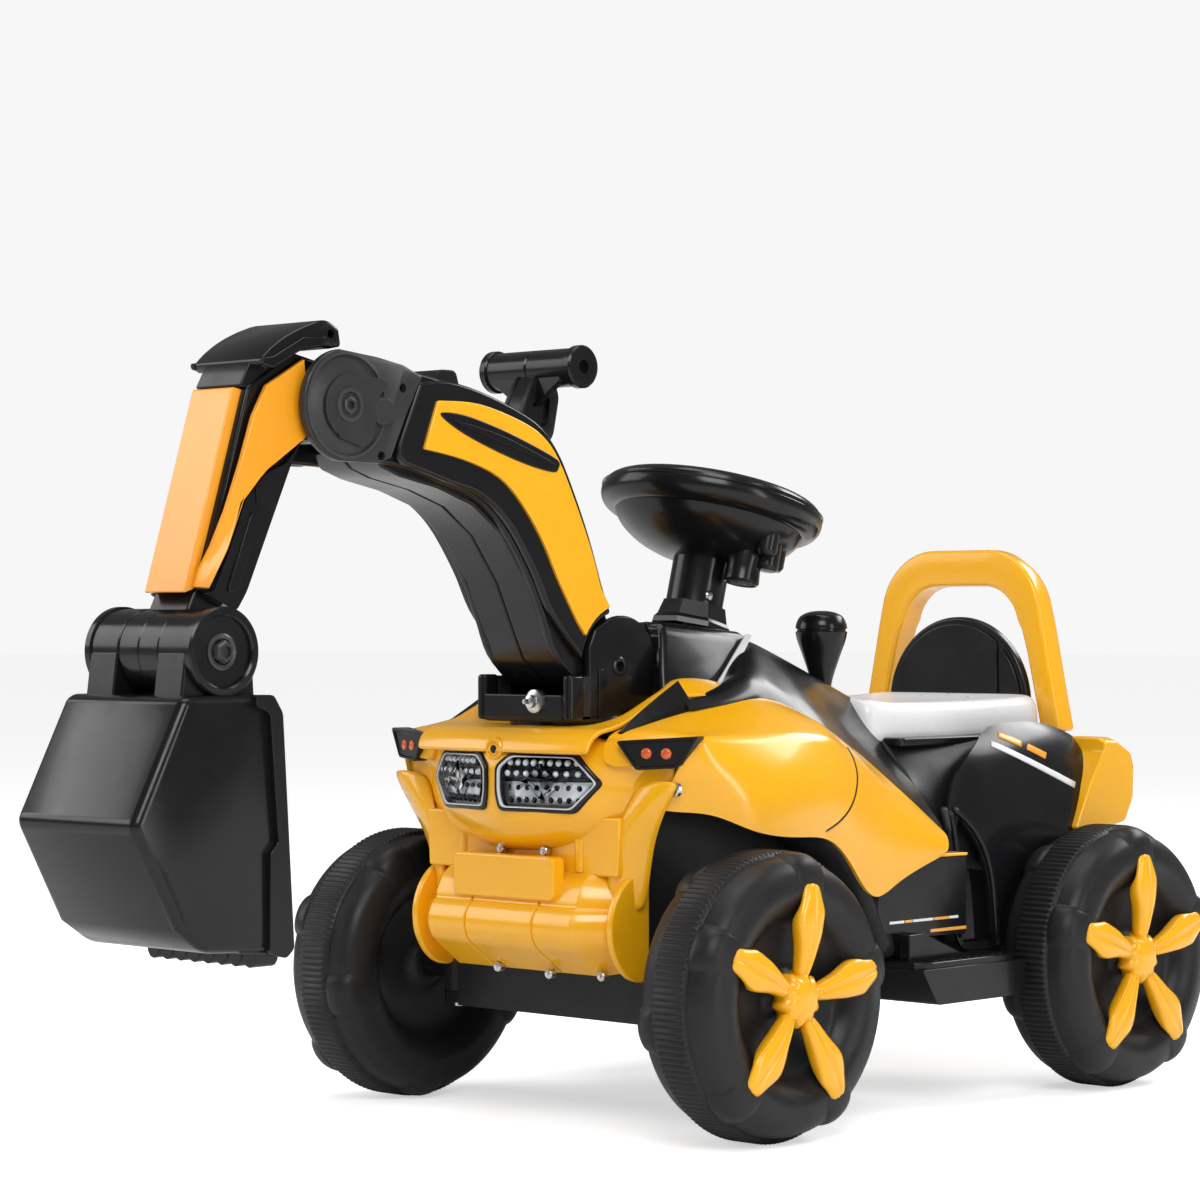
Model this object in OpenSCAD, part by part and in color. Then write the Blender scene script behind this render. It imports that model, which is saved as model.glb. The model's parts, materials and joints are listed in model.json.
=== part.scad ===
/* [Wheels and steering] */
// Wheel radius
wheel_r = 102.5; // [90:0.5:115]
// Wheel width
wheel_w = 72; // [60:1:80]
// Distance between left and right wheel centres
track = 361; // [340:1:380]
// Front axle line, along Y
front_axle_y = -24; // [-30:1:-20]
// Rear axle line, along Y
rear_axle_y = 388; // [380:1:400]
// Axle rod radius
axle_r = 5; // [4:0.5:6]
// Running clearance in the radius of every bearing
run_gap = 0.05; // [0.02:0.01:0.1]
// Kingpin distance from the centre plane
kingpin_x = 124; // [120:1:126]
// Length of the knuckle steering arm
steer_arm = 45; // [40:1:50]
// Radius of the crank under the steering shaft
crank_r = 21.5; // [20:0.5:23]

/* [Body] */
// Height of the chassis underside
tub_z = 80; // [76:1:90]
// Height of the raised front floor
nose_floor_z = 128; // [126:1:134]
// Top edge of the chassis tub
tub_top_z = 170; // [160:1:176]
// Half width of the body between the front wheels
nose_half_w = 104; // [98:1:106]
// Half width of the body behind the front wheels
waist_half_w = 128; // [120:1:130]
// Height of the deck that carries the digger tower
deck_z = 288; // [284:1:292]
// Wall thickness of moulded shells
wall = 3; // [2:0.5:4]
// Height of the seat support
seat_z = 275; // [270:1:280]
// Half width of the seat
seat_half_w = 85; // [80:1:88]
// Top of the backrest hoop
hoop_top_z = 424; // [410:1:430]

/* [Steering wheel] */
// Steering wheel outer radius
rim_r = 86; // [80:1:90]
// Steering wheel tube radius
rim_tube_r = 13; // [10:0.5:14]
// Backward tilt of the steering column
column_tilt = 15; // [10:1:20]
// Steering wheel centre, along Y
rim_y = 124; // [120:1:130]
// Steering wheel centre, height
rim_z = 452; // [440:1:460]

/* [Digger arm] */
// Slew axis, along Y
slew_y = -30; // [-32:1:-28]
// Boom pivot, along Y
boom_y = -22; // [-24:1:-20]
// Boom pivot height
boom_z = 331; // [328:1:334]
// Elbow pivot, along Y
elbow_y = -292; // [-296:1:-288]
// Elbow pivot height
elbow_z = 510; // [506:1:514]
// Bucket pivot, along Y
bucket_y = -409; // [-412:1:-406]
// Bucket pivot height
bucket_z = 345; // [342:1:348]
// Radius of the large arm pins
arm_pin_r = 6; // [5:0.5:7]
// Outer half width of the boom frame
boom_half_w = 36; // [34:1:37]
// Outer half width over the arm panels
panel_half_w = 42; // [40:1:43]
// Half width of the bucket
bucket_half_w = 62; // [58:1:64]
// Handle hinge, along Y
handle_y = -95; // [-97:1:-93]
// Handle hinge height
handle_z = 470; // [468:1:472]
// Handle bar, along Y
bar_y = -66; // [-68:1:-64]
// Handle bar height
bar_z = 548; // [546:1:550]

/* [Hidden] */
$fn = 96;
half_w = wheel_w / 2;
wheel_x = track / 2;
tilt_tan = tan(column_tilt);
knuckle_low = 84.4;
knuckle_high = 119.6;
link_drop_y = 6;
link_drop_z = -17;
link_pin_r = 3.5;
rod_half_w = 4;
slot_half_w = 4.6;
elbow_disc_r = 38;
plate_gap = 2;
stick_core_w = 26;
stick_half_w = 29.5;
tower_in = 38;
tower_out = 44;
bucket_wall = 4;
screw_r = 3;
pedal_y = 190;
pedal_z = 117;
pedal_pin_r = 1.5;
lever_x = 38;
lever_y = 210;
lever_z = 285;
lever_len = 46;
// Headlight opening in the nose, and the space inside its surround.
light_opening = [[5, 240], [10, 233], [60, 233], [76, 252], [70, 266], [14, 266], [5, 258]];
light_inside = [[8, 242], [12, 236], [59, 236], [72, 252], [68, 263], [15, 263], [8, 256]];
// Outline of the stick from the side.
stick_outline = [[-326, 544], [-366, 519], [-408, 386], [-385, 376], [-330, 478], [-316, 497]];

// Extrudes a (y, z) outline between two x values.
module prism_x(pts, x0, x1) {
  translate([x0, 0, 0]) rotate([90, 0, 90]) linear_extrude(x1 - x0) polygon(pts);
}

// Extrudes an (x, z) outline between two y values.
module prism_y(pts, y0, y1) {
  translate([0, y1, 0]) rotate([90, 0, 0]) linear_extrude(y1 - y0) polygon(pts);
}

// Extrudes an (x, y) outline between two heights.
module prism_z(pts, z0, z1) {
  translate([0, 0, z0]) linear_extrude(z1 - z0) polygon(pts);
}

// Round bar along X.
module bar_x(r, x0, x1, y, z) {
  translate([x0, y, z]) rotate([0, 90, 0]) cylinder(h = x1 - x0, r = r);
}

// Round bar along Y.
module bar_y(r, y0, y1, x, z) {
  translate([x, y1, z]) rotate([90, 0, 0]) cylinder(h = y1 - y0, r = r);
}

// Box from two corners.
module span(a, b) {
  translate(a) cube([b[0] - a[0], b[1] - a[1], b[2] - a[2]]);
}

// Copies the children to both sides.
module both_sides() {
  children();
  mirror([1, 0, 0]) children();
}

// Places the children with +Z along the steering column.
module on_column() {
  translate([0, rim_y, rim_z]) rotate([-column_tilt, 0, 0]) children();
}

// Black inner tub: raised floor at the nose, deep floor behind.
module chassis_tub() {
  front_y = -60;
  back_y = 440;
  color([0.08, 0.08, 0.09]) difference() {
    union() {
      prism_x([[front_y, nose_floor_z], [80, nose_floor_z], [90, tub_z], [120, tub_z],
        [120, tub_top_z], [front_y, tub_top_z]], -nose_half_w, nose_half_w);
      prism_z([[-nose_half_w, 119], [nose_half_w, 119], [waist_half_w, 140],
        [waist_half_w, 270], [nose_half_w + 12, 285], [nose_half_w + 12, back_y],
        [-nose_half_w - 12, back_y], [-nose_half_w - 12, 285], [-waist_half_w, 270],
        [-waist_half_w, 140]], tub_z, tub_top_z);
    }
    prism_x([[front_y + wall, nose_floor_z + wall], [80 + wall, nose_floor_z + wall],
      [90 + wall, tub_z + wall], [back_y - wall, tub_z + wall],
      [back_y - wall, tub_top_z + 1], [front_y + wall, tub_top_z + 1]],
      wall - nose_half_w, nose_half_w - wall);
    bar_x(axle_r, -200, 200, rear_axle_y, wheel_r);
    on_column() cylinder(h = 2 * rim_z, r = 10, center = true);
    pedal_window();
  }
}

// Opening in the tub wall where the pedal arm reaches its switch.
module pedal_window() {
  span([-waist_half_w - 1, 176, 118], [wall - nose_half_w + 1, 204, 136]);
}

// Fixed front beam with a fork at each end for the kingpins.
module front_axle_beam() {
  color([0.1, 0.1, 0.11]) difference() {
    union() {
      span([-nose_half_w, -46, 76], [nose_half_w, -2, nose_floor_z]);
      both_sides() fork_ends();
    }
    span([4 - nose_half_w, -42, 75], [nose_half_w - 4, -6, nose_floor_z - 8]);
    both_sides() translate([kingpin_x, front_axle_y, 60]) cylinder(h = 80, r = 4);
  }
}

// Upper and lower fork plates on one side of the beam.
module fork_ends() {
  for (low = [76, nose_floor_z - 8]) {
    translate([kingpin_x, front_axle_y, low]) cylinder(h = 8, r = 12);
    span([nose_half_w - 1, front_axle_y - 12, low], [kingpin_x, front_axle_y + 12, low + 8]);
  }
}

// Two steel kingpins with flat heads.
module kingpins() {
  color([0.7, 0.71, 0.73]) both_sides() translate([kingpin_x, front_axle_y, 0]) {
    translate([0, 0, 74]) cylinder(h = nose_floor_z - 74, r = 4);
    translate([0, 0, nose_floor_z]) cylinder(h = 3, r = 8);
    translate([0, 0, 73]) cylinder(h = 3, r = 7);
  }
}

// Steering knuckle of the +X side, drawn about the kingpin.
module knuckle() {
  difference() {
    union() {
      translate([0, 0, knuckle_low]) cylinder(h = knuckle_high - knuckle_low, r = 12);
      bar_x(9, 6, wheel_x - kingpin_x - half_w + 11.5, 0, wheel_r);
      bar_x(axle_r, 6, wheel_x - kingpin_x + 32, 0, wheel_r);
      span([-6, 0, knuckle_low], [6, steer_arm, knuckle_low + 6]);
      translate([0, steer_arm, knuckle_low]) cylinder(h = 6, r = 8);
      translate([0, steer_arm, knuckle_low]) cylinder(h = 19, r = 4);
    }
    translate([0, 0, 60]) cylinder(h = 80, r = 4 + run_gap);
  }
}

module knuckle_left() {
  color([0.12, 0.12, 0.13]) translate([kingpin_x, front_axle_y, 0]) knuckle();
}

module knuckle_right() {
  color([0.12, 0.12, 0.13]) mirror([1, 0, 0]) translate([kingpin_x, front_axle_y, 0]) knuckle();
}

// Track rod with a slot at each knuckle and one for the crank pin.
module tie_rod() {
  pin_y = front_axle_y + steer_arm;
  color([0.15, 0.15, 0.16]) difference() {
    union() {
      span([-kingpin_x, pin_y - 9, 93], [kingpin_x, pin_y + 8, 99]);
      both_sides() translate([kingpin_x, pin_y - 1, 93]) cylinder(h = 6, r = 10);
      span([-13, pin_y + 7, 93], [13, 66, 99]);
    }
    both_sides() slot_y(kingpin_x, pin_y - 4, pin_y + 1, 4.9);
    slot_y(0, 44.5, 53.5, 5.4);
  }
}

// Vertical slot along Y with round ends.
module slot_y(x, y0, y1, r) {
  for (y = [y0, y1]) {
    translate([x, y, 80]) cylinder(h = 30, r = r);
  }
  span([x - r, y0, 80], [x + r, y1, 110]);
}

// Solid steel axle for the rear wheels.
module rear_axle() {
  color([0.7, 0.71, 0.73]) bar_x(axle_r, -wheel_x - 32, wheel_x + 32, rear_axle_y, wheel_r);
}

// Hollow blow-moulded wheel about the X axis, outer face towards +X.
module wheel() {
  shoulder = half_w - 12;
  color([0.16, 0.16, 0.17]) difference() {
    rotate([90, 0, 90]) rotate_extrude() difference() {
      union() {
        polygon([[axle_r + run_gap, 12 - half_w], [54, 12 - half_w], [64, 3 - half_w],
          [88, 3 - half_w], [wheel_r, -shoulder + 2], [wheel_r, shoulder - 2], [88, half_w - 3],
          [64, half_w - 3], [54, shoulder], [axle_r + run_gap, shoulder]]);
        translate([76, half_w - 12]) circle(r = 12);
        translate([76, 12 - half_w]) circle(r = 12);
      }
      polygon([[15, 15 - half_w], [56, 15 - half_w], [67, 7 - half_w], [86, 7 - half_w],
        [wheel_r - 4, 4 - shoulder], [wheel_r - 4, shoulder - 4], [86, half_w - 7],
        [67, half_w - 7], [56, shoulder - 3], [15, shoulder - 3]]);
    }
    bar_x(3, 5 - half_w, 20 - half_w, 40, 0);
  }
}

module wheel_at(side, y) {
  mirror([side < 0 ? 1 : 0, 0, 0]) translate([wheel_x, y, wheel_r]) wheel();
}

module wheel_front_left() { wheel_at(1, front_axle_y); }

module wheel_front_right() { wheel_at(-1, front_axle_y); }

module wheel_rear_left() { wheel_at(1, rear_axle_y); }

module wheel_rear_right() { wheel_at(-1, rear_axle_y); }

// Five-arm star cap; it rests on the wheel's dish and over its sidewall.
module star() {
  tip_r = 80;
  seat_x = half_w - 12;
  color([0.98, 0.72, 0.03]) difference() {
    union() {
      bar_x(21, seat_x, half_w + 6, 0, 0);
      for (arm = [0:4]) {
        rotate([90 + 72 * arm, 0, 0]) prism_x([[15, -9], [34, -6], [48, -15], [tip_r - 4, -9],
          [tip_r, -3], [tip_r - 3, 8], [52, 15], [36, 8], [15, 9]], half_w, half_w + 5);
      }
    }
    bar_x(11, seat_x - 1, half_w - 2, 0, 0);
  }
}

module star_at(side, y, turn) {
  mirror([side < 0 ? 1 : 0, 0, 0]) translate([wheel_x, y, wheel_r]) rotate([turn, 0, 0]) star();
}

module star_front_left() { star_at(1, front_axle_y, -7); }

module star_front_right() { star_at(-1, front_axle_y, -7); }

module star_rear_left() { star_at(1, rear_axle_y, 0); }

module star_rear_right() { star_at(-1, rear_axle_y, 0); }

// Solid outline of the nose, shrunk by a wall on demand.
module nose_form(w) {
  intersection() {
    prism_x([[-66, tub_top_z], [-76 + w, 200 + w], [-82 + w, 212 + w], [-104 + w, 228 + w],
      [-112 + w, 238 + w], [-112 + w, 268 - w], [-97 + w, 283 - w], [-84, deck_z - w],
      [23 - w, deck_z - w], [23 - w, tub_top_z]], w - nose_half_w, nose_half_w - w);
    prism_z([[-nose_half_w, 60], [-nose_half_w, -80], [-50, -102], [0, -113], [50, -102],
      [nose_half_w, -80], [nose_half_w, 60]], 100, 400);
  }
}

// Fender over one front wheel, sweeping down to the rear.
module fender_form(w) {
  intersection() {
    prism_x([[-104, 232 + w], [-81, 230 + w], [-15, 213 + w], [55, 214 + w], [88, 196 + w],
      [118, 158], [138, 146], [160, 152], [245, 190 - w], [240, 200 - w], [132, 278 - w],
      [71, 306 - w], [-18, 296 - w], [-70, 286 - w], [-98, 268 - w]], nose_half_w, 168);
    prism_y([[nose_half_w, 140], [150 - w, 140], [166 - w, 190], [168 - w, 225],
      [163 - w, 250], [146 - w, 276 - w], [124 - w, 298 - w], [nose_half_w, 310 - w]], -120, 260);
  }
}

// Yellow nose, deck and fenders in one moulding.
module front_shell() {
  color([0.98, 0.7, 0.02]) difference() {
    union() {
      nose_form(0);
      both_sides() fender_form(0);
    }
    translate([0, 0, -0.01]) nose_form(wall);
    span([4 - nose_half_w, -60, tub_top_z - 1], [nose_half_w - 4, 24, 250]);
    both_sides() translate([-0.01, 0, 0]) fender_form(4);
    both_sides() prism_y(light_opening, -120, -70);
    both_sides() indicator_body();
    translate([0, slew_y, deck_z - 6]) cylinder(h = 10, r = 12);
  }
}

// Slanted pocket for one indicator pod.
module indicator_body() {
  translate([86, -72, 272]) rotate([0, 0, 22]) span([0, -14, -8], [40, 6, 8]);
}

module hood_strakes() {
  color([0.07, 0.07, 0.08]) both_sides() prism_x([[-66, deck_z], [-8, deck_z],
    [-8, deck_z + 26], [-30, deck_z + 14]], 80, 88);
}

// Yellow bumper with a top panel, a grooved roll and round ears.
module front_bumper() {
  color([0.98, 0.71, 0.03]) difference() {
    union() {
      prism_x([[-62, 106], [-60.5, 169], [-67, 169.5], [-77, 199], [-92, 199], [-99, 166],
        [-105, 158], [-107, 145], [-103, 132], [-92, 122], [-78, 106]], -86, 86);
      both_sides() bumper_ear();
    }
    prism_x([[-64, 100], [-64, 168], [-80, 194], [-89, 194], [-95, 165], [-102, 154],
      [-103, 144], [-99, 134], [-90, 126], [-80, 110], [-80, 100]], -82, 82);
    both_sides() prism_x([[-120, 128], [-120, 160], [-104, 156], [-104, 134]], 33, 35);
    both_sides() bar_x(screw_r, 80, 110, -70, 150);
  }
}

module bumper_ear() {
  prism_x([[-61, 118], [-61, 169.5], [-67, 169.5], [-74, 189], [-84, 184], [-92, 168], [-93, 146],
    [-88, 126], [-76, 113], [-66, 112]], 86, 101);
}

// Silver screws of the bumper and of the fenders.
module body_screws() {
  color([0.75, 0.75, 0.77]) {
    both_sides() bar_x(screw_r, 96, 103, -70, 150);
    both_sides() bar_x(5, 103, 105, -70, 150);
    both_sides() bar_x(4, 168, 170, -71, 246);
  }
}

// Black surrounds of the two headlights.
module headlight_bezels() {
  color([0.05, 0.05, 0.06]) both_sides() difference() {
    prism_y(light_opening, -116, -88);
    prism_y(light_inside, -120, -92);
  }
}

// Faceted silver bowls inside the surrounds.
module headlight_reflectors() {
  color([0.8, 0.82, 0.84]) both_sides() prism_y(light_inside, -106, -92);
}

module headlight_lenses() {
  color([0.9, 0.93, 0.95, 0.4]) both_sides() prism_y(light_inside, -114, -111);
}

module indicator_bezels() {
  color([0.05, 0.05, 0.06]) both_sides() difference() {
    indicator_body();
    for (x = [12, 26]) {
      indicator_lamp(x);
    }
  }
}

module indicator_lamp(x) {
  translate([86, -72, 272]) rotate([0, 0, 22]) translate([x, -10, 0]) rotate([90, 0, 0])
    cylinder(h = 4, r = 4);
}

module indicator_lamps() {
  color([1, 0.45, 0.05]) both_sides() {
    indicator_lamp(12);
    indicator_lamp(26);
  }
}

// Hollow black pod between the deck and the steering column.
module dash_pod() {
  color([0.06, 0.06, 0.07]) difference() {
    pod_form(0);
    translate([0, 0, -0.01]) pod_form(wall);
    on_column() cylinder(h = 300, r = 24, center = true);
  }
}

module pod_form(w) {
  intersection() {
    prism_x([[24 + w, deck_z], [24 + w, 365 - w], [117 - w, 356 - w], [128 - w, 340],
      [128 - w, tub_top_z + 0.3], [24 + w, tub_top_z + 0.3]], -70, 70);
    prism_y([[w - 66, tub_top_z], [w - 66, deck_z], [w - 42, 366], [42 - w, 366],
      [66 - w, deck_z], [66 - w, tub_top_z]], 0, 200);
  }
}

// Octagonal collar on top of the pod; the column turns inside it.
module column_collar() {
  color([0.06, 0.06, 0.07]) difference() {
    on_column() translate([0, 0, -88]) rotate([0, 0, 22.5]) cylinder(h = 16, r = 30, $fn = 8);
    on_column() cylinder(h = 300, r = 22 + run_gap, center = true);
    pod_form(0);
  }
}

// Saddle-shaped cover between the pod and the seat.
module console_form(w) {
  intersection() {
    prism_x([[128, tub_top_z], [128, 346 - w], [133, 340 - w], [180, 322 - w],
      [226 - w, 305 - w], [226 - w, tub_top_z]], -waist_half_w, waist_half_w);
    prism_y([[w - 126, tub_top_z], [w - 126, 200], [w - 96, 262 - w], [w - 62, 306 - w],
      [w - 46, 347 - w], [46 - w, 347 - w], [62 - w, 306 - w], [96 - w, 262 - w], [126 - w, 200],
      [126 - w, tub_top_z]], 100, 240);
  }
}

module console_cover() {
  color([0.06, 0.06, 0.07]) difference() {
    console_form(0);
    translate([0, 0, -0.01]) console_form(wall);
    both_sides() fender_form(0);
    span([lever_x - 8, lever_y - 14, 280], [lever_x + 8, lever_y + 12, 345]);
  }
}

// Lever stalk with its pivot barrel under the console.
module gear_lever() {
  color([0.3, 0.3, 0.31]) {
    bar_x(8, lever_x - 8, lever_x + 8, lever_y, lever_z);
    translate([lever_x, lever_y, lever_z]) cylinder(h = lever_len, r = 4);
  }
}

module lever_knob() {
  color([0.05, 0.05, 0.06]) translate([lever_x, lever_y, lever_z + lever_len]) {
    cylinder(h = 24, r1 = 9, r2 = 18.5);
    translate([0, 0, 24]) cylinder(h = 4, r = 20);
    translate([0, 0, 28]) cylinder(h = 13, r1 = 17.5, r2 = 8);
  }
}

// Black body under the seat.
module rear_body() {
  color([0.07, 0.07, 0.08]) difference() {
    prism_y([[-116, tub_top_z], [-116, 262], [-104, seat_z], [104, seat_z], [116, 262],
      [116, tub_top_z]], 226, 440);
    prism_y([[wall - 116, tub_top_z - 1], [wall - 116, 261], [wall - 104, seat_z - wall],
      [104 - wall, seat_z - wall], [116 - wall, 261], [116 - wall, tub_top_z - 1]],
      226 + wall, 440 - wall);
    both_sides() fender_form(0);
  }
}

// Side covers in front of and above the rear wheels.
module rear_covers() {
  color([0.05, 0.05, 0.06]) both_sides() difference() {
    prism_x([[270, 114], [340, 114], [355, 154], [389, 212], [431, 250], [436, 270],
      [391, 283], [322, 273], [250, 262], [232, 240], [250, 186], [262, 130]], 116, 140);
    prism_x([[274, 110], [337, 110], [351, 156], [386, 216], [426, 252], [430, 266],
      [391, 279], [322, 269], [252, 258], [237, 240], [254, 188], [266, 130]], 110, 136);
    span([100, 240, tub_z], [116, 290, tub_top_z + 1]);
    prism_z([[115, 240], [waist_half_w, 240], [waist_half_w, 270], [115, 285.5]], 90, tub_top_z);
  }
}

// Box under each fender tail, open towards the body.
module side_boxes() {
  color([0.05, 0.05, 0.06]) both_sides() difference() {
    span([waist_half_w, 150, 116], [150, 236, 182]);
    span([waist_half_w - 1, 150 + wall, 116 + wall], [150 - wall, 236 - wall, 182 - wall]);
    fender_form(0);
  }
}

// Running board along each side, ribbed below.
module footboards() {
  color([0.06, 0.06, 0.07]) both_sides() difference() {
    prism_z([[waist_half_w, 156], [176, 156], [182, 164], [182, 272], [176, 278],
      [waist_half_w, 268]], tub_z, 112);
    difference() {
      span([waist_half_w - 1, 159, tub_z - 1], [182 - wall, 264, 112 - wall]);
      for (y = [190, 220, 250]) {
        span([waist_half_w - 2, y, tub_z - 2], [182, y + 2, 112]);
      }
    }
  }
  color([0.06, 0.06, 0.07]) mirror([1, 0, 0]) pedal_ears();
}

// Two ears and the moulded pin that carry the pedal.
module pedal_ears() {
  for (x = [150.5, 177]) {
    prism_x([[185, 111.9], [195, 111.9], [193, 120.5], [187, 120.5]], x, x + 2.5);
  }
  bar_x(pedal_pin_r, 151, 179, pedal_y, pedal_z);
}

// Yellow tail behind the seat, over the rear wheels.
module tail_panel() {
  color([0.98, 0.7, 0.02]) difference() {
    tail_form(0);
    translate([0, -0.01, -0.01]) tail_form(wall);
  }
}

module tail_form(w) {
  intersection() {
    prism_x([[440, 210], [440, seat_z - w], [456 - w, seat_z - w], [466 - w, 262],
      [475 - w, 224], [470 - w, 210]], w - 146, 146 - w);
    prism_z([[w - 146, 440], [w - 146, 452], [w - 130, 476], [130 - w, 476], [146 - w, 452],
      [146 - w, 440]], 200, 300);
  }
}

// White seat with a raised rear edge.
module seat() {
  color([0.93, 0.93, 0.94]) difference() {
    seat_form(0);
    translate([0, 0, -0.01]) seat_form(wall);
  }
}

module seat_form(w) {
  intersection() {
    prism_x([[227 + w, seat_z], [227 + w, 294 - w], [238 + w, 305 - w], [262, 302 - w],
      [340, 297 - w], [430 - w, 296 - w], [430 - w, seat_z]], -seat_half_w, seat_half_w);
    prism_y([[w - seat_half_w, seat_z], [w - seat_half_w, 288 - w], [w - 74, 306 - w],
      [74 - w, 306 - w], [seat_half_w - w, 288 - w], [seat_half_w - w, seat_z]], 220, 440);
  }
}

// Half-round black backrest standing behind the seat.
module backrest() {
  color([0.06, 0.06, 0.07]) intersection() {
    bar_y(72, 430, 440, 0, 296);
    span([-72, 429, seat_z], [72, 441, 380]);
  }
}

// Yellow grab hoop around the backrest.
module backrest_hoop() {
  leg_x = 110;
  color([0.98, 0.71, 0.03]) difference() {
    union() {
      prism_y([[-leg_x, seat_z], [leg_x, seat_z], [72.5, 398.4], [38, hoop_top_z],
        [-38, hoop_top_z], [-72.5, 398.4]], 440, 460);
      both_sides() bar_y(36, 440, 460, 38, hoop_top_z - 36);
    }
    prism_y([[-77, seat_z - 1], [77, seat_z - 1], [45.4, 383], [32, 393], [-32, 393],
      [-45.4, 383]], 439, 461);
    both_sides() bar_y(14, 439, 461, 32, 379);
  }
}

module battery() {
  color([0.2, 0.22, 0.26]) {
    span([-48, 230, tub_z + wall], [48, 300, tub_z + 70]);
    span([-30, 240, tub_z + 70], [-18, 248, tub_z + 76]);
    span([18, 240, tub_z + 70], [30, 248, tub_z + 76]);
  }
}

// Gear case and motor on the rear axle.
module gearbox_motor() {
  color([0.3, 0.31, 0.33]) difference() {
    union() {
      span([64, 362, tub_z + wall], [100, 430, 140]);
      bar_x(17, 12, 64, 410, 118);
      bar_x(6, 4, 12, 410, 118);
    }
    bar_x(axle_r, 60, 104, rear_axle_y, wheel_r);
  }
}

// Sprung pedal on the right running board.
module foot_pedal() {
  color([0.08, 0.08, 0.09]) mirror([1, 0, 0]) difference() {
    union() {
      prism_x([[186, 113.2], [194, 113.2], [236, 120], [236, 124], [186, 118]], 154, 176);
      bar_x(4, 154, 176, pedal_y, pedal_z);
    }
    bar_x(pedal_pin_r + run_gap, 150, 180, pedal_y, pedal_z);
  }
}

// Steering wheel: round tube and a bowl-shaped underside.
module steering_rim() {
  color([0.04, 0.04, 0.05]) on_column() rotate_extrude() union() {
    translate([rim_r - rim_tube_r, 0]) circle(r = rim_tube_r);
    polygon([[26, -24], [44, -22], [64, -11], [64, -4], [44, -15], [26, -16]]);
  }
}

// Hub with the sleeve that drops into the collar.
module steering_hub() {
  color([0.05, 0.05, 0.06]) on_column() difference() {
    union() {
      translate([0, 0, -30]) cylinder(h = 24, r = 26);
      translate([0, 0, -84]) cylinder(h = 54, r = 22);
    }
    translate([0, 0, -85]) cylinder(h = 70, r = 6);
    for (x = [-11, 11]) {
      translate([x, 0, -14]) cylinder(h = 10, r = 7 + run_gap);
    }
  }
}

// Round speaker pod hung under the steering wheel.
module sound_module() {
  color([0.05, 0.05, 0.06]) on_column() difference() {
    translate([34, 0, -44]) cylinder(h = 20, r = 12);
    translate([0, 0, -60]) cylinder(h = 60, r = 26);
    rotate_extrude() polygon([[26, -24], [44, -22], [64, -11], [64, 0], [26, 0]]);
    for (x = [-4, 0, 4], y = [-4, 0, 4]) {
      translate([37 + x, y, -45]) cylinder(h = 4, r = 1, $fn = 16);
    }
  }
}

// Steel shaft with a crank and pin at its foot.
module steering_shaft() {
  foot = -(rim_z - 108) / cos(column_tilt);
  color([0.68, 0.69, 0.71]) on_column() {
    translate([0, 0, foot]) cylinder(h = -15 - foot, r = axle_r + 1);
    translate([0, 0, foot]) cylinder(h = 6, r = 9);
    translate([-5, 0, foot]) cube([10, crank_r, 6]);
    translate([0, crank_r, foot - 16]) cylinder(h = 22, r = 4);
  }
}

module wheel_button(x) {
  on_column() translate([x, 0, -11]) cylinder(h = 7, r = 7);
}

module music_button() {
  color([0.85, 0.2, 0.12]) wheel_button(-11);
}

module horn_button() {
  color([0.95, 0.75, 0.1]) wheel_button(11);
}

// Slewing bracket: round foot, base plate and two cheek plates.
module tower_bracket() {
  color([0.07, 0.07, 0.08]) difference() {
    union() {
      translate([0, slew_y, deck_z + 0.4]) cylinder(h = 6, r = 44);
      translate([0, slew_y, deck_z - 10]) cylinder(h = 12, r = 11.9);
      span([-tower_out, -80, deck_z + 5], [tower_out, 7, deck_z + 10]);
      both_sides() cheek();
      span([-tower_in - 1, -80, deck_z + 9], [tower_in + 1, -75, deck_z + 28]);
    }
    bar_x(arm_pin_r, -60, 60, boom_y, boom_z);
    bar_y(3, -90, -60, 14, deck_z + 19);
  }
}

module cheek() {
  prism_x([[-80, deck_z + 5], [7, deck_z + 5], [9, 340], [boom_y + 20, boom_z + 28],
    [boom_y, boom_z + 35], [boom_y - 20, boom_z + 28], [-60, 336], [-80, 334]],
    tower_in, tower_out);
}

// Silver bolt at the front of the tower.
module tower_bolt() {
  color([0.78, 0.78, 0.8]) {
    bar_y(3, -80, -70, 14, deck_z + 19);
    bar_y(5.5, -85, -80, 14, deck_z + 19);
  }
}

module boom_pin() {
  color([0.7, 0.71, 0.73]) {
    bar_x(arm_pin_r, -tower_out, tower_out, boom_y, boom_z);
    both_sides() bar_x(10, tower_out, tower_out + 4, boom_y, boom_z);
  }
}

// Hollow black boom, open at the elbow and slotted for the handle.
module boom_frame() {
  color([0.07, 0.07, 0.08]) difference() {
    union() {
      prism_x([[elbow_y, elbow_z + 36], [-208, 521], [-147, 517], [-81, 480], [-55, 424],
        [-36, 373], [-2, 352], [boom_y + 26, boom_z], [boom_y, boom_z - 26], [-40, 310],
        [-79, 334], [-98, 366], [-122, 408], [-171, 449], [-219, 472], [elbow_y, 474]],
        -boom_half_w, boom_half_w);
      bar_x(36, -boom_half_w, boom_half_w, elbow_y, elbow_z);
    }
    prism_x([[-330, 462], [-208, 462], [-168, 453], [-118, 411], [-93, 370],
      [-70, 350], [-52, 372], [-62, 422], [-86, 475], [-149, 512], [-208, 516], [-230, 517],
      [-230, 550], [-330, 550]], -30, 30);
    span([-10.5, -112, 462], [10.5, -60, 520]);
    bar_x(arm_pin_r + run_gap, -60, 60, boom_y, boom_z);
    bar_x(arm_pin_r, -60, 60, elbow_y, elbow_z);
    bar_x(4 + run_gap, -60, 60, handle_y, handle_z);
  }
}

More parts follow.
